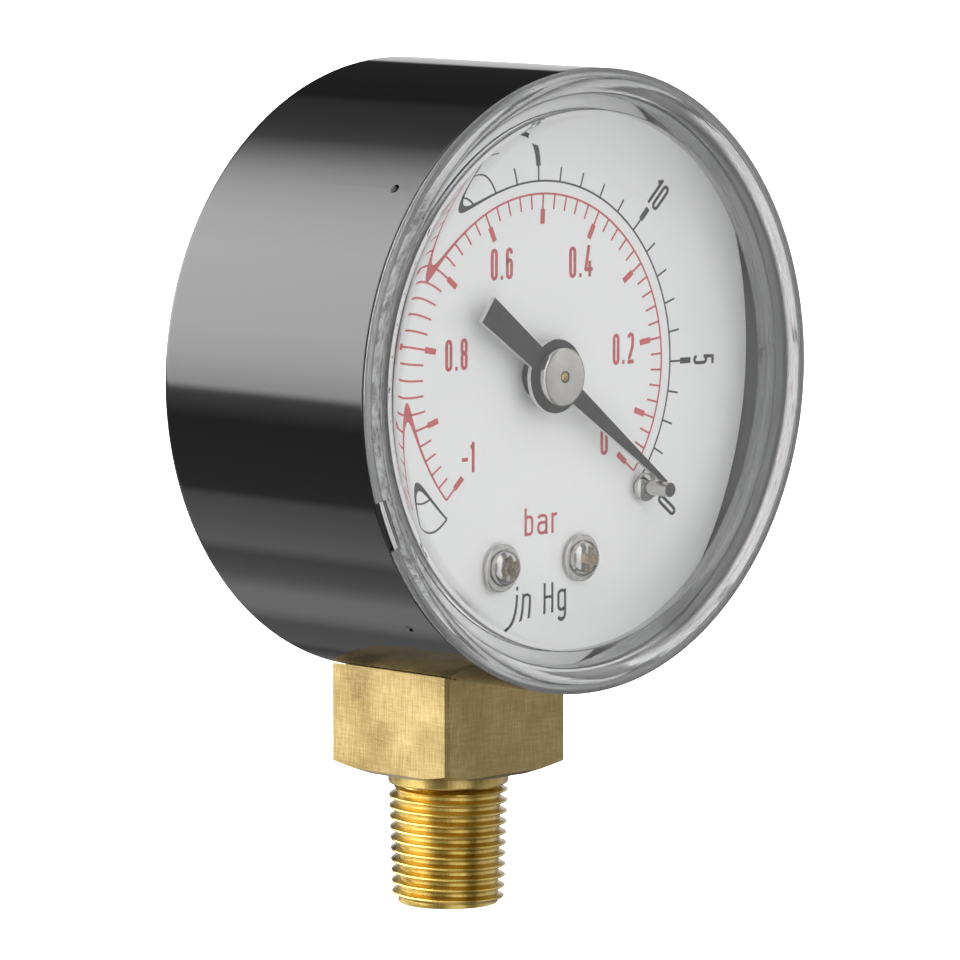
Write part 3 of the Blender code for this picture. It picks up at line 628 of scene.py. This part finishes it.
def scale(name, radius, inward, marks, start, end, majors, line):
    """A whole printed scale: its line and its strokes, the major ones going on thick."""
    bar = 0.5
    pieces = [curved_stroke(radius, start, end, line)]
    sign = -1 if inward else 1
    for degrees, major in marks:
        reach = radius + sign * majors[0]
        low, high = sorted((radius, reach))
        pieces.append(stroke(low, high, degrees, line if not major else line * 1.05))
        if major:
            low, high = sorted((reach, radius + sign * majors[1]))
            pieces.append(stroke(low, high, degrees, bar))
    return join(name, pieces)


def oval(cx, cy, rx, ry, start, end, count=12):
    """Points of part of an oval in a character's own space."""
    points = []
    for index in range(count + 1):
        angle = math.radians(start + (end - start) * index / count)
        points.append((cx + rx * math.cos(angle), cy + ry * math.sin(angle)))
    return points


def character(letter, wide, pen):
    """The pen lines of one narrow upright character, one unit high, and how far it reaches."""
    low, high, half, mid = pen / 2, 1 - pen / 2, wide / 2, 0.735 - pen / 2
    broad = wide * 1.3

    def loop(top, bottom):
        """Down one side and up the other, left open at the left."""
        return (oval(half, top - half, half, half, 180, 0)
                + oval(half, bottom + half, half, half, 0, -180))

    drawn = {
        "0": [loop(high, low) + [(0, high - half)]],
        "1": [[(wide * 0.72, 0), (wide * 0.72, 1)], [(wide * 0.72, 0.93), (wide * 0.1, 0.80)]],
        "2": [oval(half, high - half, half, half, 175, -10)
              + [(wide * 0.93, 0.55), (0.02, low + pen * 0.6)],
              [(-pen / 2, low), (wide + pen / 2, low)]],
        "3": [oval(half, high - half, half, half, 175, 0)
              + oval(half * 0.9, 0.52 + half, half * 1.1, half, 0, -90),
              oval(half * 0.9, 0.52 - half, half * 1.1, half, 90, 0)
              + oval(half, low + half, half, half, 0, -175)],
        "4": [[(wide * 0.66, 1), (-0.03, 0.24), (-0.03, 0.22)],
              [(-pen / 2, 0.235), (wide + pen, 0.235)],
              [(wide * 0.82, 0.5), (wide * 0.82, 0)]],
        "5": [[(wide + pen / 2, high), (0.01, high)], [(0.02, 1), (0.0, 0.50)],
              oval(half, 0.62 - half, half, half, 165, 0)
              + oval(half, low + half, half, half, 0, -175)],
        "6": [loop(0.61, low) + [(0, 0.61 - half), (0, high - half)]
              + oval(half, high - half, half, half, 180, 0) + [(wide, 0.80)]],
        "8": [loop(high, 0.53) + [(0, high - half)], loop(0.53, low) + [(0, 0.53 - half)]],
        "-": [[(-pen / 2, 0.44), (wide * 1.5, 0.44)]],
        ".": [[(0, low * 1.15), (pen * 1.1, low * 1.15)]],
        "b": [[(0, 0), (0, 1)], loop(mid, low)],
        "a": [[(broad, 0), (broad, mid - half)]
              + oval(broad / 2, mid - half, broad / 2, half, 0, 165),
              [(broad, 0.43), (half, 0.43)]
              + oval(half, (0.43 + low) / 2, half, (0.43 - low) / 2, 90, 270)
              + [(broad * 0.7, low), (broad, low + 0.10)]],
        "r": [[(0, 0), (0, 0.735)], oval(half, mid - half, half, half, 180, 65)],
        "i": [[(0, 0), (0, 0.735)], [(0, 0.87), (0, 1)]],
        "n": [[(0, 0), (0, 0.735)], oval(half, mid - half, half, half, 180, 0) + [(wide, 0)]],
        "H": [[(0, 0), (0, 1)], [(wide * 1.15, 0), (wide * 1.15, 1)],
              [(0, 0.52), (wide * 1.15, 0.52)]],
        "g": [loop(mid, low) + [(0, mid - half)], [(wide, 0.735), (wide, -0.22 + half)]
              + oval(half, -0.22 + half, half, half, 0, -160)],
        " ": [],
    }
    reach = {"1": wide * 0.72, ".": pen * 1.1, "i": 0.0, "H": wide * 1.15, "r": wide * 0.55,
             "a": broad, " ": wide * 0.35, "-": wide * 1.4, "4": wide * 0.95}
    return drawn[letter], reach.get(letter, wide)


def label(words, x, z, width, height, turn=0.0, pen=0.32):
    """Printed characters in even pen lines, fitted to a width and height and centred at (x, z).

    Each stroke stands a hair's breadth over the last, so that crossing strokes don't flicker.
    """
    wide, gap, nib = 0.235, 0.115, pen / height
    layer_step = 0.0004 * MM
    lines, across = [], 0.0
    for letter in words:
        strokes, reach = character(letter, wide, nib)
        for stroke_points in strokes:
            lines.append([(across + px, py) for px, py in stroke_points])
        across += reach + nib + gap
    across -= nib + gap
    curve = bpy.data.curves.new("label", "CURVE")
    curve.dimensions = "3D"
    curve.twist_mode = "Z_UP"
    curve.extrude = pen / 2 * MM
    squeeze = (width - pen) / across
    for layer, points in enumerate(lines):
        spline = curve.splines.new("POLY")
        spline.points.add(len(points) - 1)
        for point, (px, py) in zip(spline.points, points):
            point.co = ((px - across / 2) * squeeze * MM, (py - 0.5) * height * MM,
                        layer * layer_step, 1)
            point.tilt = math.pi / 2
    piece = bpy.data.objects.new("label", curve)
    bpy.context.scene.collection.objects.link(piece)
    pick(piece)
    bpy.ops.object.convert(target="MESH")
    piece = bpy.context.object
    thick = piece.modifiers.new("ink", "SOLIDIFY")
    thick.thickness = INK * MM
    thick.offset = 0
    bpy.ops.object.modifier_apply(modifier=thick.name)
    piece.matrix_world = (Matrix.Translation(spot(x, DIAL_FACE / MM - PRINT / 2 - 0.001, z))
                          @ Matrix.Rotation(math.pi / 2, 4, "X")
                          @ Matrix.Rotation(math.radians(turn), 4, "Z"))
    bpy.ops.object.transform_apply(location=True, rotation=True, scale=True)
    bpy.ops.object.mode_set(mode="EDIT")
    bpy.ops.mesh.select_all(action="SELECT")
    bpy.ops.mesh.remove_doubles(threshold=0.0002 * MM)
    bpy.ops.mesh.normals_make_consistent(inside=False)
    bpy.ops.object.mode_set(mode="OBJECT")
    return piece


ZERO_ANGLE = -47.02     # where both scales would read zero
SWEEP = 270.0           # degrees to a bar
FIRST_MARK = -39.4      # where both printed scales begin
INCHES_TO_A_BAR = 29.53


def bar_angle(value):
    return ZERO_ANGLE + SWEEP * value


def mercury_angle(value):
    return ZERO_ANGLE + SWEEP * value / INCHES_TO_A_BAR


def red_scale(red):
    """The inner scale, in fiftieths of a bar, with its numbers and its unit."""
    marks = [(FIRST_MARK, True)]
    for step in range(3, 51):
        marks.append((bar_angle(step * 0.02), step % 5 == 0))
    whole = scale("dial_scale_bar", 14.56, True, marks, FIRST_MARK, bar_angle(1.0),
                  (1.25, 2.5), 0.17)
    shape(whole, "gauge", red)
    numbers = [label("0.6", -4.29, 9.56, 2.55, 2.62), label("0.4", 4.87, 9.22, 2.65, 2.62),
               label("0.8", -9.50, 2.44, 2.55, 2.62), label("0.2", 10.00, 1.64, 2.55, 2.62),
               label("-1", -8.18, -6.07, 1.5, 2.5), label("bar", 0.26, -11.97, 3.8, 2.32, 0, 0.25)]
    x, z = around(10.0, FIRST_MARK, SCALE_RISE)
    numbers.append(label("0", x, z, 0.88, 2.6))
    shape(join("dial_numbers_bar", numbers), "gauge", red)


def black_scale(black):
    """The outer scale, in inches of mercury, with its numbers and its unit."""
    marks = [(FIRST_MARK, True)]
    for value in range(2, 31):
        marks.append((mercury_angle(value), value % 5 == 0))
    whole = scale("dial_scale_mercury", 15.61, False, marks, FIRST_MARK, mercury_angle(30),
                  (1.23, 2.48), 0.16)
    shape(whole, "gauge", black)
    numbers = []
    for value in range(0, 31, 5):
        angle = mercury_angle(value) if value else -39.2
        x, z = around(19.7, angle, SCALE_RISE)
        width = 0.82 if value < 10 else 1.75
        numbers.append(label(str(value), x, z, width, 2.5, angle - 90, 0.28))
    numbers.append(label("in Hg", 0.31, -18.45, 5.86, 2.45, 0, 0.24))
    shape(join("dial_numbers_mercury", numbers), "gauge", black)


# ---------------------------------------------------------------- fasteners and pin


def pan_screw(name, node, facing, twist, plate, recess_shade):
    """A pan head screw with a stamped cross recess in painted shade, standing on its seat, facing out.
    """
    low, high = (Vector(one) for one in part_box(node))
    into = BACK * -facing
    length = (high.y - low.y) / MM
    foot = (low + high) / 2
    foot.y = low.y if facing < 0 else high.y
    profile = [(0.0, 0.0), (0.55, 0.015), (0.95, 0.1), (1.28, 0.27), (1.47, 0.5), (1.52, 0.78)]
    profile += [(1.56, 0.92), (1.9, 0.96), (1.95, 1.0), (1.95, 1.25), (0.9, 1.25)]
    profile += [(0.9, length - 0.8), (0.45, length), (0.0, length)]
    screw = turned(name, profile, foot, into, 64, angle=28)
    arms = []
    arm_length, arm_width, taper = 2.5, 0.95, 0.6
    for wide, tall in ((arm_length, arm_width), (arm_width, arm_length)):
        clear_selection()
        bpy.ops.mesh.primitive_cube_add(size=1.0, location=foot + into * 0.3 * MM,
                                        scale=(wide * MM, 1.5 * MM, tall * MM))
        arm = settle(bpy.context.object, 0)
        for vertex in arm.data.vertices:
            vertex.select = (vertex.co - foot).dot(into) > 0.3 * MM
        flag_by_vertices(arm)
        bpy.ops.transform.resize(value=(taper, 1, taper), center_override=foot)
        bpy.ops.object.mode_set(mode="OBJECT")
        arms.append(arm)
    first = combine(arms[0], arms[1], "UNION")
    pick(first)
    bpy.ops.object.mode_set(mode="EDIT")
    bpy.ops.mesh.select_all(action="SELECT")
    bpy.ops.transform.rotate(value=math.radians(twist), orient_axis="Y", center_override=foot)
    bpy.ops.object.mode_set(mode="OBJECT")
    combine(screw, first, "DIFFERENCE")
    settle(screw, 28)
    shape(screw, "gauge", [plate, recess_shade], [node])
    # The cross recess's faces take the second finish, brown painted shade.
    for face in screw.data.polygons:
        reach = face.center - foot
        depth = reach.dot(into)
        across = (reach - into * depth).length
        wall = face.normal.dot(into) > -0.6 or depth > 0.6 * MM
        face.material_index = 1 if across < 1.25 * MM and depth < 1.2 * MM and wall else 0
    return screw


def stop_post(nickel, end):
    """The pin that the pointer rests on, flanged against the dial, with its front end disc darker."""
    low, high = (Vector(one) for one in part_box("stop_pin"))
    foot = Vector(((low.x + high.x) / 2, low.y, (low.z + high.z) / 2))
    profile = [(0.0, 0.0), (0.5, 0.0), (0.6, 0.05), (0.62, 0.12), (0.62, 2.5), (0.78, 2.56)]
    profile += [(1.05, 2.64), (1.17, 2.75), (1.2, 2.85), (1.2, 3.07), (0.5, 3.1), (0.5, 4.1), (0.0, 4.1)]
    pin = turned("stop_post", profile, foot, BACK, 48, angle=28)
    shape(pin, "gauge", [nickel, end], ["stop_pin"])
    # The front end disc takes the second, darker finish.
    for face in pin.data.polygons:
        face.material_index = 1 if face.center.y < foot.y + 0.08 * MM else 0
    return pin


# ---------------------------------------------------------------- pointer


def pointer_blade(paint_and_painted_shade, bare):
    """The sheet pointer: a round disc drawn out into a tapered needle and a square tail."""
    low, high = (Vector(one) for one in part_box("pointer"))
    depth = (low.y - FRONT) / MM
    thick = high.y - low.y
    hub = spot(0, depth, ARBOR_RISE)
    clear_selection()
    bpy.ops.mesh.primitive_circle_add(vertices=96, radius=3.05 * MM, fill_type="NGON", location=hub,
                                      rotation=(math.pi / 2, 0, 0))
    blade = fresh("pointer_blade")

    def drawn_out(side, half, reach, end_half):
        """Pulls one side of the disc out to a reach, where it is twice end_half wide."""
        bpy.ops.object.mode_set(mode="OBJECT")
        inside = set()
        for vertex in blade.data.vertices:
            vertex.select = side * vertex.co.x > 0 and abs(vertex.co.y) < half * MM
            if vertex.select:
                inside.add(vertex.index)
        widest = max(abs(blade.data.vertices[index].co.y) for index in inside)
        for face in blade.data.polygons:
            face.select = False
        for edge in blade.data.edges:
            edge.select = set(edge.vertices) <= inside
        bpy.ops.object.mode_set(mode="EDIT")
        bpy.ops.mesh.select_mode(type="EDGE")
        bpy.ops.mesh.extrude_region_move(TRANSFORM_OT_translate={"value": (side * MM, 0, 0)})
        end = hub + Vector((side * reach * MM, 0, 0))
        bpy.ops.transform.resize(value=(0, 1, end_half * MM / widest), center_override=end)
        bpy.ops.mesh.select_mode(type="VERT")
        bpy.ops.mesh.select_all(action="SELECT")
        bpy.ops.mesh.remove_doubles(threshold=0.001 * MM)

    drawn_out(1, 0.87, 16.4, 0.19)
    drawn_out(-1, 1.13, 9.9, 1.22)
    bpy.ops.mesh.select_all(action="SELECT")
    bpy.ops.mesh.dissolve_limited(angle_limit=math.radians(0.5))
    bpy.ops.mesh.select_all(action="SELECT")
    bpy.ops.transform.rotate(value=math.radians(-37.1), orient_axis="Y", center_override=hub)
    bpy.ops.mesh.extrude_region_move(TRANSFORM_OT_translate={"value": (0, thick, 0)})
    bpy.ops.mesh.select_all(action="SELECT")
    bpy.ops.mesh.normals_make_consistent(inside=False)
    settle(blade, 0)
    combine(blade, drill("hole", hub - BACK * MM, hub + BACK * 2 * MM, 1.4 * MM, 48), "DIFFERENCE")
    settle(blade, 30)
    shape(blade, "pointer_shaft", [paint_and_painted_shade, bare], ["pointer"])
    for face in blade.data.polygons:
        face.material_index = 0 if abs(face.normal.y) > 0.7 else 1
    return blade


def hub_cap(nickel):
    """The cap that clenches the pointer, open in its middle for the arbor's tip."""
    low = Vector(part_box("pointer_hub")[0])
    front = Vector((0, low.y, CASE_Z + ARBOR_RISE * MM))
    profile = [(0.5, 0.0), (2.2, 0.0), (2.33, 0.04), (2.41, 0.12), (2.43, 0.24), (2.43, 0.65)]
    profile += [(2.35, 0.74), (1.2, 0.75), (1.2, 1.55), (1.62, 1.55), (1.7, 1.63), (1.7, 2.17)]
    profile += [(1.62, 2.25), (0.5, 2.25)]
    cap = turned("hub_cap", profile, front, BACK, 96, ring=True, angle=28)
    return shape(cap, "pointer_shaft", nickel, ["pointer_hub"])


# ---------------------------------------------------------------- socket


def threaded_stem(top, run_out, turns=13):
    """A real helix: one tooth spun down the stem, then tapered, and trimmed at both ends.

    The thread starts above the top and is cut off there. It fades out at the run-out height, under
    the collar, and at the stem's lower end it is chamfered.
    """
    pitch, depth, end_radius, taper = 0.907, 0.581, 4.74, 1 / 32
    chamfer_radius, chamfer_rise = 4.14, 1.05
    root_radius, run_out_rise = 4.36, 2.4
    start = top + 1.2
    tooth = [(-depth, 0.0), (-depth, -0.12 * pitch), (-0.05, -0.41 * pitch), (0.0, -0.5 * pitch),
             (-0.05, -0.59 * pitch), (-depth, -0.88 * pitch), (-depth, -pitch)]
    clear_selection()
    spots = [Vector(((end_radius + out) * MM, 0, (start + along) * MM)) for out, along in tooth]
    bpy.ops.mesh.primitive_plane_add(size=MM, location=spots[0])
    stem = fresh("stem_thread")
    bpy.ops.mesh.merge(type="CENTER")
    for here, there in zip(spots, spots[1:]):
        bpy.ops.mesh.extrude_region_move(TRANSFORM_OT_translate={"value": there - here})
    settle(stem, 0)
    turn = stem.modifiers.new("helix", "SCREW")
    turn.steps = turn.render_steps = 64
    turn.screw_offset = -pitch * MM
    turn.iterations = turns + 2
    turn.use_merge_vertices = True
    turn.merge_threshold = WELD
    bpy.ops.object.modifier_apply(modifier=turn.name)
    bpy.ops.object.mode_set(mode="EDIT")
    bpy.ops.mesh.select_all(action="SELECT")
    bpy.ops.mesh.remove_doubles(threshold=WELD)
    for height, normal in ((top * MM, (0, 0, 1)), (0.0, (0, 0, -1))):
        bpy.ops.mesh.select_all(action="SELECT")
        bpy.ops.mesh.bisect(plane_co=(0, 0, height), plane_no=normal, clear_outer=True,
                            use_fill=True, threshold=1e-9)
    bpy.ops.mesh.select_all(action="SELECT")
    bpy.ops.mesh.normals_make_consistent(inside=False)
    bpy.ops.object.mode_set(mode="OBJECT")
    for vertex in stem.data.vertices:
        height = vertex.co.z / MM
        radius = math.hypot(vertex.co.x, vertex.co.y) / MM
        tapered = radius * (1 + height * taper / end_radius)
        chamfered = chamfer_radius + chamfer_rise * max(height, 0.0)
        fading = root_radius + run_out_rise * max(run_out - height, 0.0)
        trimmed = min(tapered, chamfered, fading)
        vertex.co.x *= trimmed / radius
        vertex.co.y *= trimmed / radius
    return stem


def socket_body(brass):
    """The brass block as it comes from the CAD, with the collar, thread and port worked afresh."""
    shoulder, collar_radius, collar_length = 11.3, 5.06, 1.2
    port_radius, port_depth = 1.45, 14
    body = merge_copy("socket", "socket_body")
    combine(body, block("below", (-0.02, -0.02, -0.01), (0.02, 0.02, shoulder * MM)), "DIFFERENCE")
    stem = threaded_stem(shoulder - 0.8, shoulder - collar_length - 0.1)
    foot, head = shoulder - collar_length, shoulder + 0.7
    collar = [(0.0, foot), (collar_radius - 0.44, foot), (collar_radius - 0.08, foot + 0.09),
              (collar_radius, foot + 0.2), (collar_radius, head), (0.0, head)]
    combine(stem, turned("collar", collar, Vector(), UP, 96, angle=0), "UNION")
    port = drill("port", (0, 0, -MM), (0, 0, port_depth * MM), port_radius * MM, 48)
    combine(stem, port, "DIFFERENCE")
    combine(body, stem, "UNION")
    settle(body, 25)
    return shape(body, "gauge", brass, ["socket"])


# ---------------------------------------------------------------- studio


# The light that comes from behind the gauge, as (degrees round it from the right, brightness).
RING_LIGHT = [
    (0, 1.05), (17, 1.1), (19, 0.048), (57, 0.062), (61, 0.164), (69, 0.243), (77, 0.333),
    (84, 0.55), (90, 1.515), (94, 2.356), (102, 4.288), (110, 5.896), (120, 7.366), (135, 8.696),
    (150, 8.89), (165, 8.763), (176, 7.874), (187, 5.803), (190, 0.951), (200, 0.238),
    (228, 0.335), (231, 1.027), (250, 1.414), (256, 0.658), (266, 0.828), (275, 1.363),
    (285, 1.097), (295, 0.429), (312, 0.312), (318, 0.149), (350, 0.332), (359, 1)]

# The light that comes from in front, as (place from 0 to 1, brightness), upwards and then across.
FRONT_RISE = [(0.0, 0.7), (0.42, 0.9), (0.5, 1.0), (0.75, 1.25), (1.0, 1.5)]
FRONT_BOXES = [(0.0, 0.5), (0.1, 0.35), (0.16, 0.3), (0.2, 1.5), (0.38, 1.7), (0.46, 1.5),
               (0.5, 0.25), (0.68, 0.2), (0.74, 0.95), (0.9, 1.0), (1.0, 1.1)]
KEY_LIGHT = 2.6         # how much more the frontal light gives to matt surfaces than to mirrors


def studio():
    """Soft studio light all round, and plain white where the camera looks past the gauge."""
    world = bpy.data.worlds.new("studio")
    bpy.context.scene.world = world
    world.use_nodes = True
    tree = world.node_tree
    tree.nodes.clear()

    def node(kind):
        return tree.nodes.new(kind)

    def maths(operation, first, second=None):
        made = node("ShaderNodeMath")
        made.operation = operation
        for socket, value in ((0, first), (1, second)):
            if isinstance(value, (int, float)):
                made.inputs[socket].default_value = value
            elif value is not None:
                tree.links.new(value, made.inputs[socket])
        return made.outputs[0]

    def scaled(value, factor, offset, clamp=False):
        made = node("ShaderNodeMath")
        made.operation = "MULTIPLY_ADD"
        made.use_clamp = clamp
        tree.links.new(value, made.inputs[0])
        made.inputs[1].default_value = factor
        made.inputs[2].default_value = offset
        return made.outputs[0]

    def strip(value, stops, brightest=10.0):
        """Softboxes along one direction, as (place from 0 to 1, brightness)."""
        made = node("ShaderNodeValToRGB")
        set_stops(made.color_ramp,
                  [(position, (*[level / brightest] * 3, 1)) for position, level in stops])
        tree.links.new(value, made.inputs["Fac"])
        return maths("MULTIPLY", made.outputs["Color"], brightest)

    split = node("ShaderNodeSeparateXYZ")
    tree.links.new(node("ShaderNodeTexCoord").outputs["Generated"], split.inputs[0])
    x, y, z = split.outputs
    turn = maths("ARCTAN2", z, x)
    share = maths("FRACT", maths("DIVIDE", turn, TURN))
    rear = strip(share, [(angle / 360, level) for angle, level in RING_LIGHT])
    front = maths("MULTIPLY", strip(scaled(z, 0.5, 0.5), FRONT_RISE),
                  strip(scaled(x, 0.5, 0.5), FRONT_BOXES))
    blended = node("ShaderNodeMix")
    tree.links.new(scaled(y, 6.0, 0.5, clamp=True), blended.inputs[0])
    tree.links.new(front, blended.inputs[2])
    tree.links.new(rear, blended.inputs[3])
    path = node("ShaderNodeLightPath")
    lit = maths("MULTIPLY", maths("GREATER_THAN", path.outputs["Diffuse Depth"], 0.5),
                scaled(y, -4.0, -0.4, clamp=True))
    lift = scaled(lit, KEY_LIGHT - 1, 1.0)
    light = node("ShaderNodeBackground")
    tree.links.new(maths("MULTIPLY", blended.outputs[0], lift), light.inputs["Strength"])
    white = node("ShaderNodeBackground")
    white.inputs["Strength"].default_value = 1.0
    white.inputs["Color"].default_value = (1, 1, 1, 1)
    choose = node("ShaderNodeMixShader")
    tree.links.new(path.outputs["Is Camera Ray"], choose.inputs[0])
    tree.links.new(light.outputs[0], choose.inputs[1])
    tree.links.new(white.outputs[0], choose.inputs[2])
    out = node("ShaderNodeOutputWorld")
    tree.links.new(choose.outputs[0], out.inputs["Surface"])


def floor():
    """A pale sheet just under the stem, which nothing of the gauge mirrors or is lit by."""
    clear_selection()
    bpy.ops.mesh.primitive_plane_add(size=3.0, location=(0, 0, -0.0005))
    sheet = bpy.context.object
    sheet.name = "studio_floor"
    pale = Finish("pale_floor", (1, 1, 1), 0.9)
    pale.set("Emission Color", (1, 1, 1, 1))
    pale.set("Emission Strength", 1.0)
    sheet.data.materials.append(pale.material)
    sheet.visible_glossy = False
    sheet.visible_diffuse = False
    sheet.visible_shadow = False
    sheet.visible_transmission = False


def camera():
    """A long lens, from the left and a little above."""
    back = Vector((-0.6989, -0.7060, 0.1146)).normalized()
    data = bpy.data.cameras.new("camera")
    data.sensor_width = 36.0
    data.lens = 264.8
    data.clip_start, data.clip_end = 0.05, 10.0
    eye = bpy.data.objects.new("camera", data)
    bpy.context.scene.collection.objects.link(eye)
    eye.rotation_mode = "QUATERNION"
    eye.rotation_quaternion = (-back).to_track_quat("-Z", "Y")
    eye.location = (-410.74 * MM, -418.70 * MM, 103.31 * MM)
    bpy.context.scene.camera = eye


def dress_nodes(names, material):
    """Gives CAD nodes that keep their own shape a worked finish."""
    for name in names:
        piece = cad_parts[name]
        piece.data.materials.clear()
        piece.data.materials.append(material)


def main():
    plain = (1, 1, 1)
    enamel = black_enamel()
    white = dial_white()
    red = ink("dial_red_ink", (0.58, 0.075, 0.08), 0.03)
    black = ink("dial_black_ink", (0.012, 0.013, 0.014), 0.012)
    nickel = metal("bright_nickel", (0.46, 0.45, 0.43), (0.64, 0.625, 0.60), 0.13, plain, 700)
    pin_end = metal("dark_pin_end", (0.06, 0.06, 0.06), (0.14, 0.14, 0.135), 0.3, plain, 1800)
    # The screws' brown recess finish is painted shade.
    recess_shade = metal("recess_painted_shade", (0.16, 0.115, 0.07), (0.92, 0.80, 0.64), 0.3, plain, 2600,
                   0.00006, 0.45)
    steel = metal("ground_steel", (0.42, 0.41, 0.40), (0.62, 0.61, 0.60), 0.3, (1, 8, 1), 600)
    bare = metal("bare_aluminium_edge", (0.62, 0.62, 0.61), (0.80, 0.80, 0.79), 0.35)
    brass = socket_brass()
    movement = metal("movement_brass", (0.48, 0.33, 0.11), (0.68, 0.50, 0.20), 0.28, (6, 1, 1), 500)
    # The front plate's near-black tone is painted shade.
    plate_shade = metal("plate_brass_painted_shade", (0.03, 0.022, 0.01), (0.07, 0.05, 0.022), 0.45, (6, 1, 1),
                 500)
    spring = metal("spring_bronze", (0.40, 0.27, 0.12), (0.60, 0.44, 0.22), 0.25)
    tube = metal("tube_bronze", (0.42, 0.26, 0.09), (0.62, 0.43, 0.17), 0.34, plain, 350, 0.000004)

    case_shell(enamel, case_inside())
    window_lens(clear_plastic())
    dial_plate(white)
    red_scale(red)
    black_scale(black)
    pan_screw("dial_screw_head_left", "dial_screw_left", -1, 20, nickel, recess_shade)
    pan_screw("dial_screw_head_right", "dial_screw_right", -1, -12, nickel, recess_shade)
    pan_screw("back_screw_head_left", "back_screw_left", 1, 35, nickel, recess_shade)
    pan_screw("back_screw_head_right", "back_screw_right", 1, 8, nickel, recess_shade)
    stop_post(nickel, pin_end)
    pointer_blade(pointer_black(), bare)
    hub_cap(nickel)
    socket_body(brass)
    dress_nodes(["pinion_arbor", "hairspring_collet", "hairspring_stud", "sector_gear", "link",
                 "back_plate", "pillar_left", "pillar_right"], movement)
    dress_nodes(["sector_shaft", "link_screw", "tip_pin", "plate_screw_left",
                 "plate_screw_right"], steel)
    dress_nodes(["front_plate"], plate_shade)
    dress_nodes(["hairspring"], spring)
    dress_nodes(["bourdon_tube", "tube_tip"], tube)
    studio()
    floor()
    camera()
    bpy.context.scene.view_settings.view_transform = "Standard"


main()
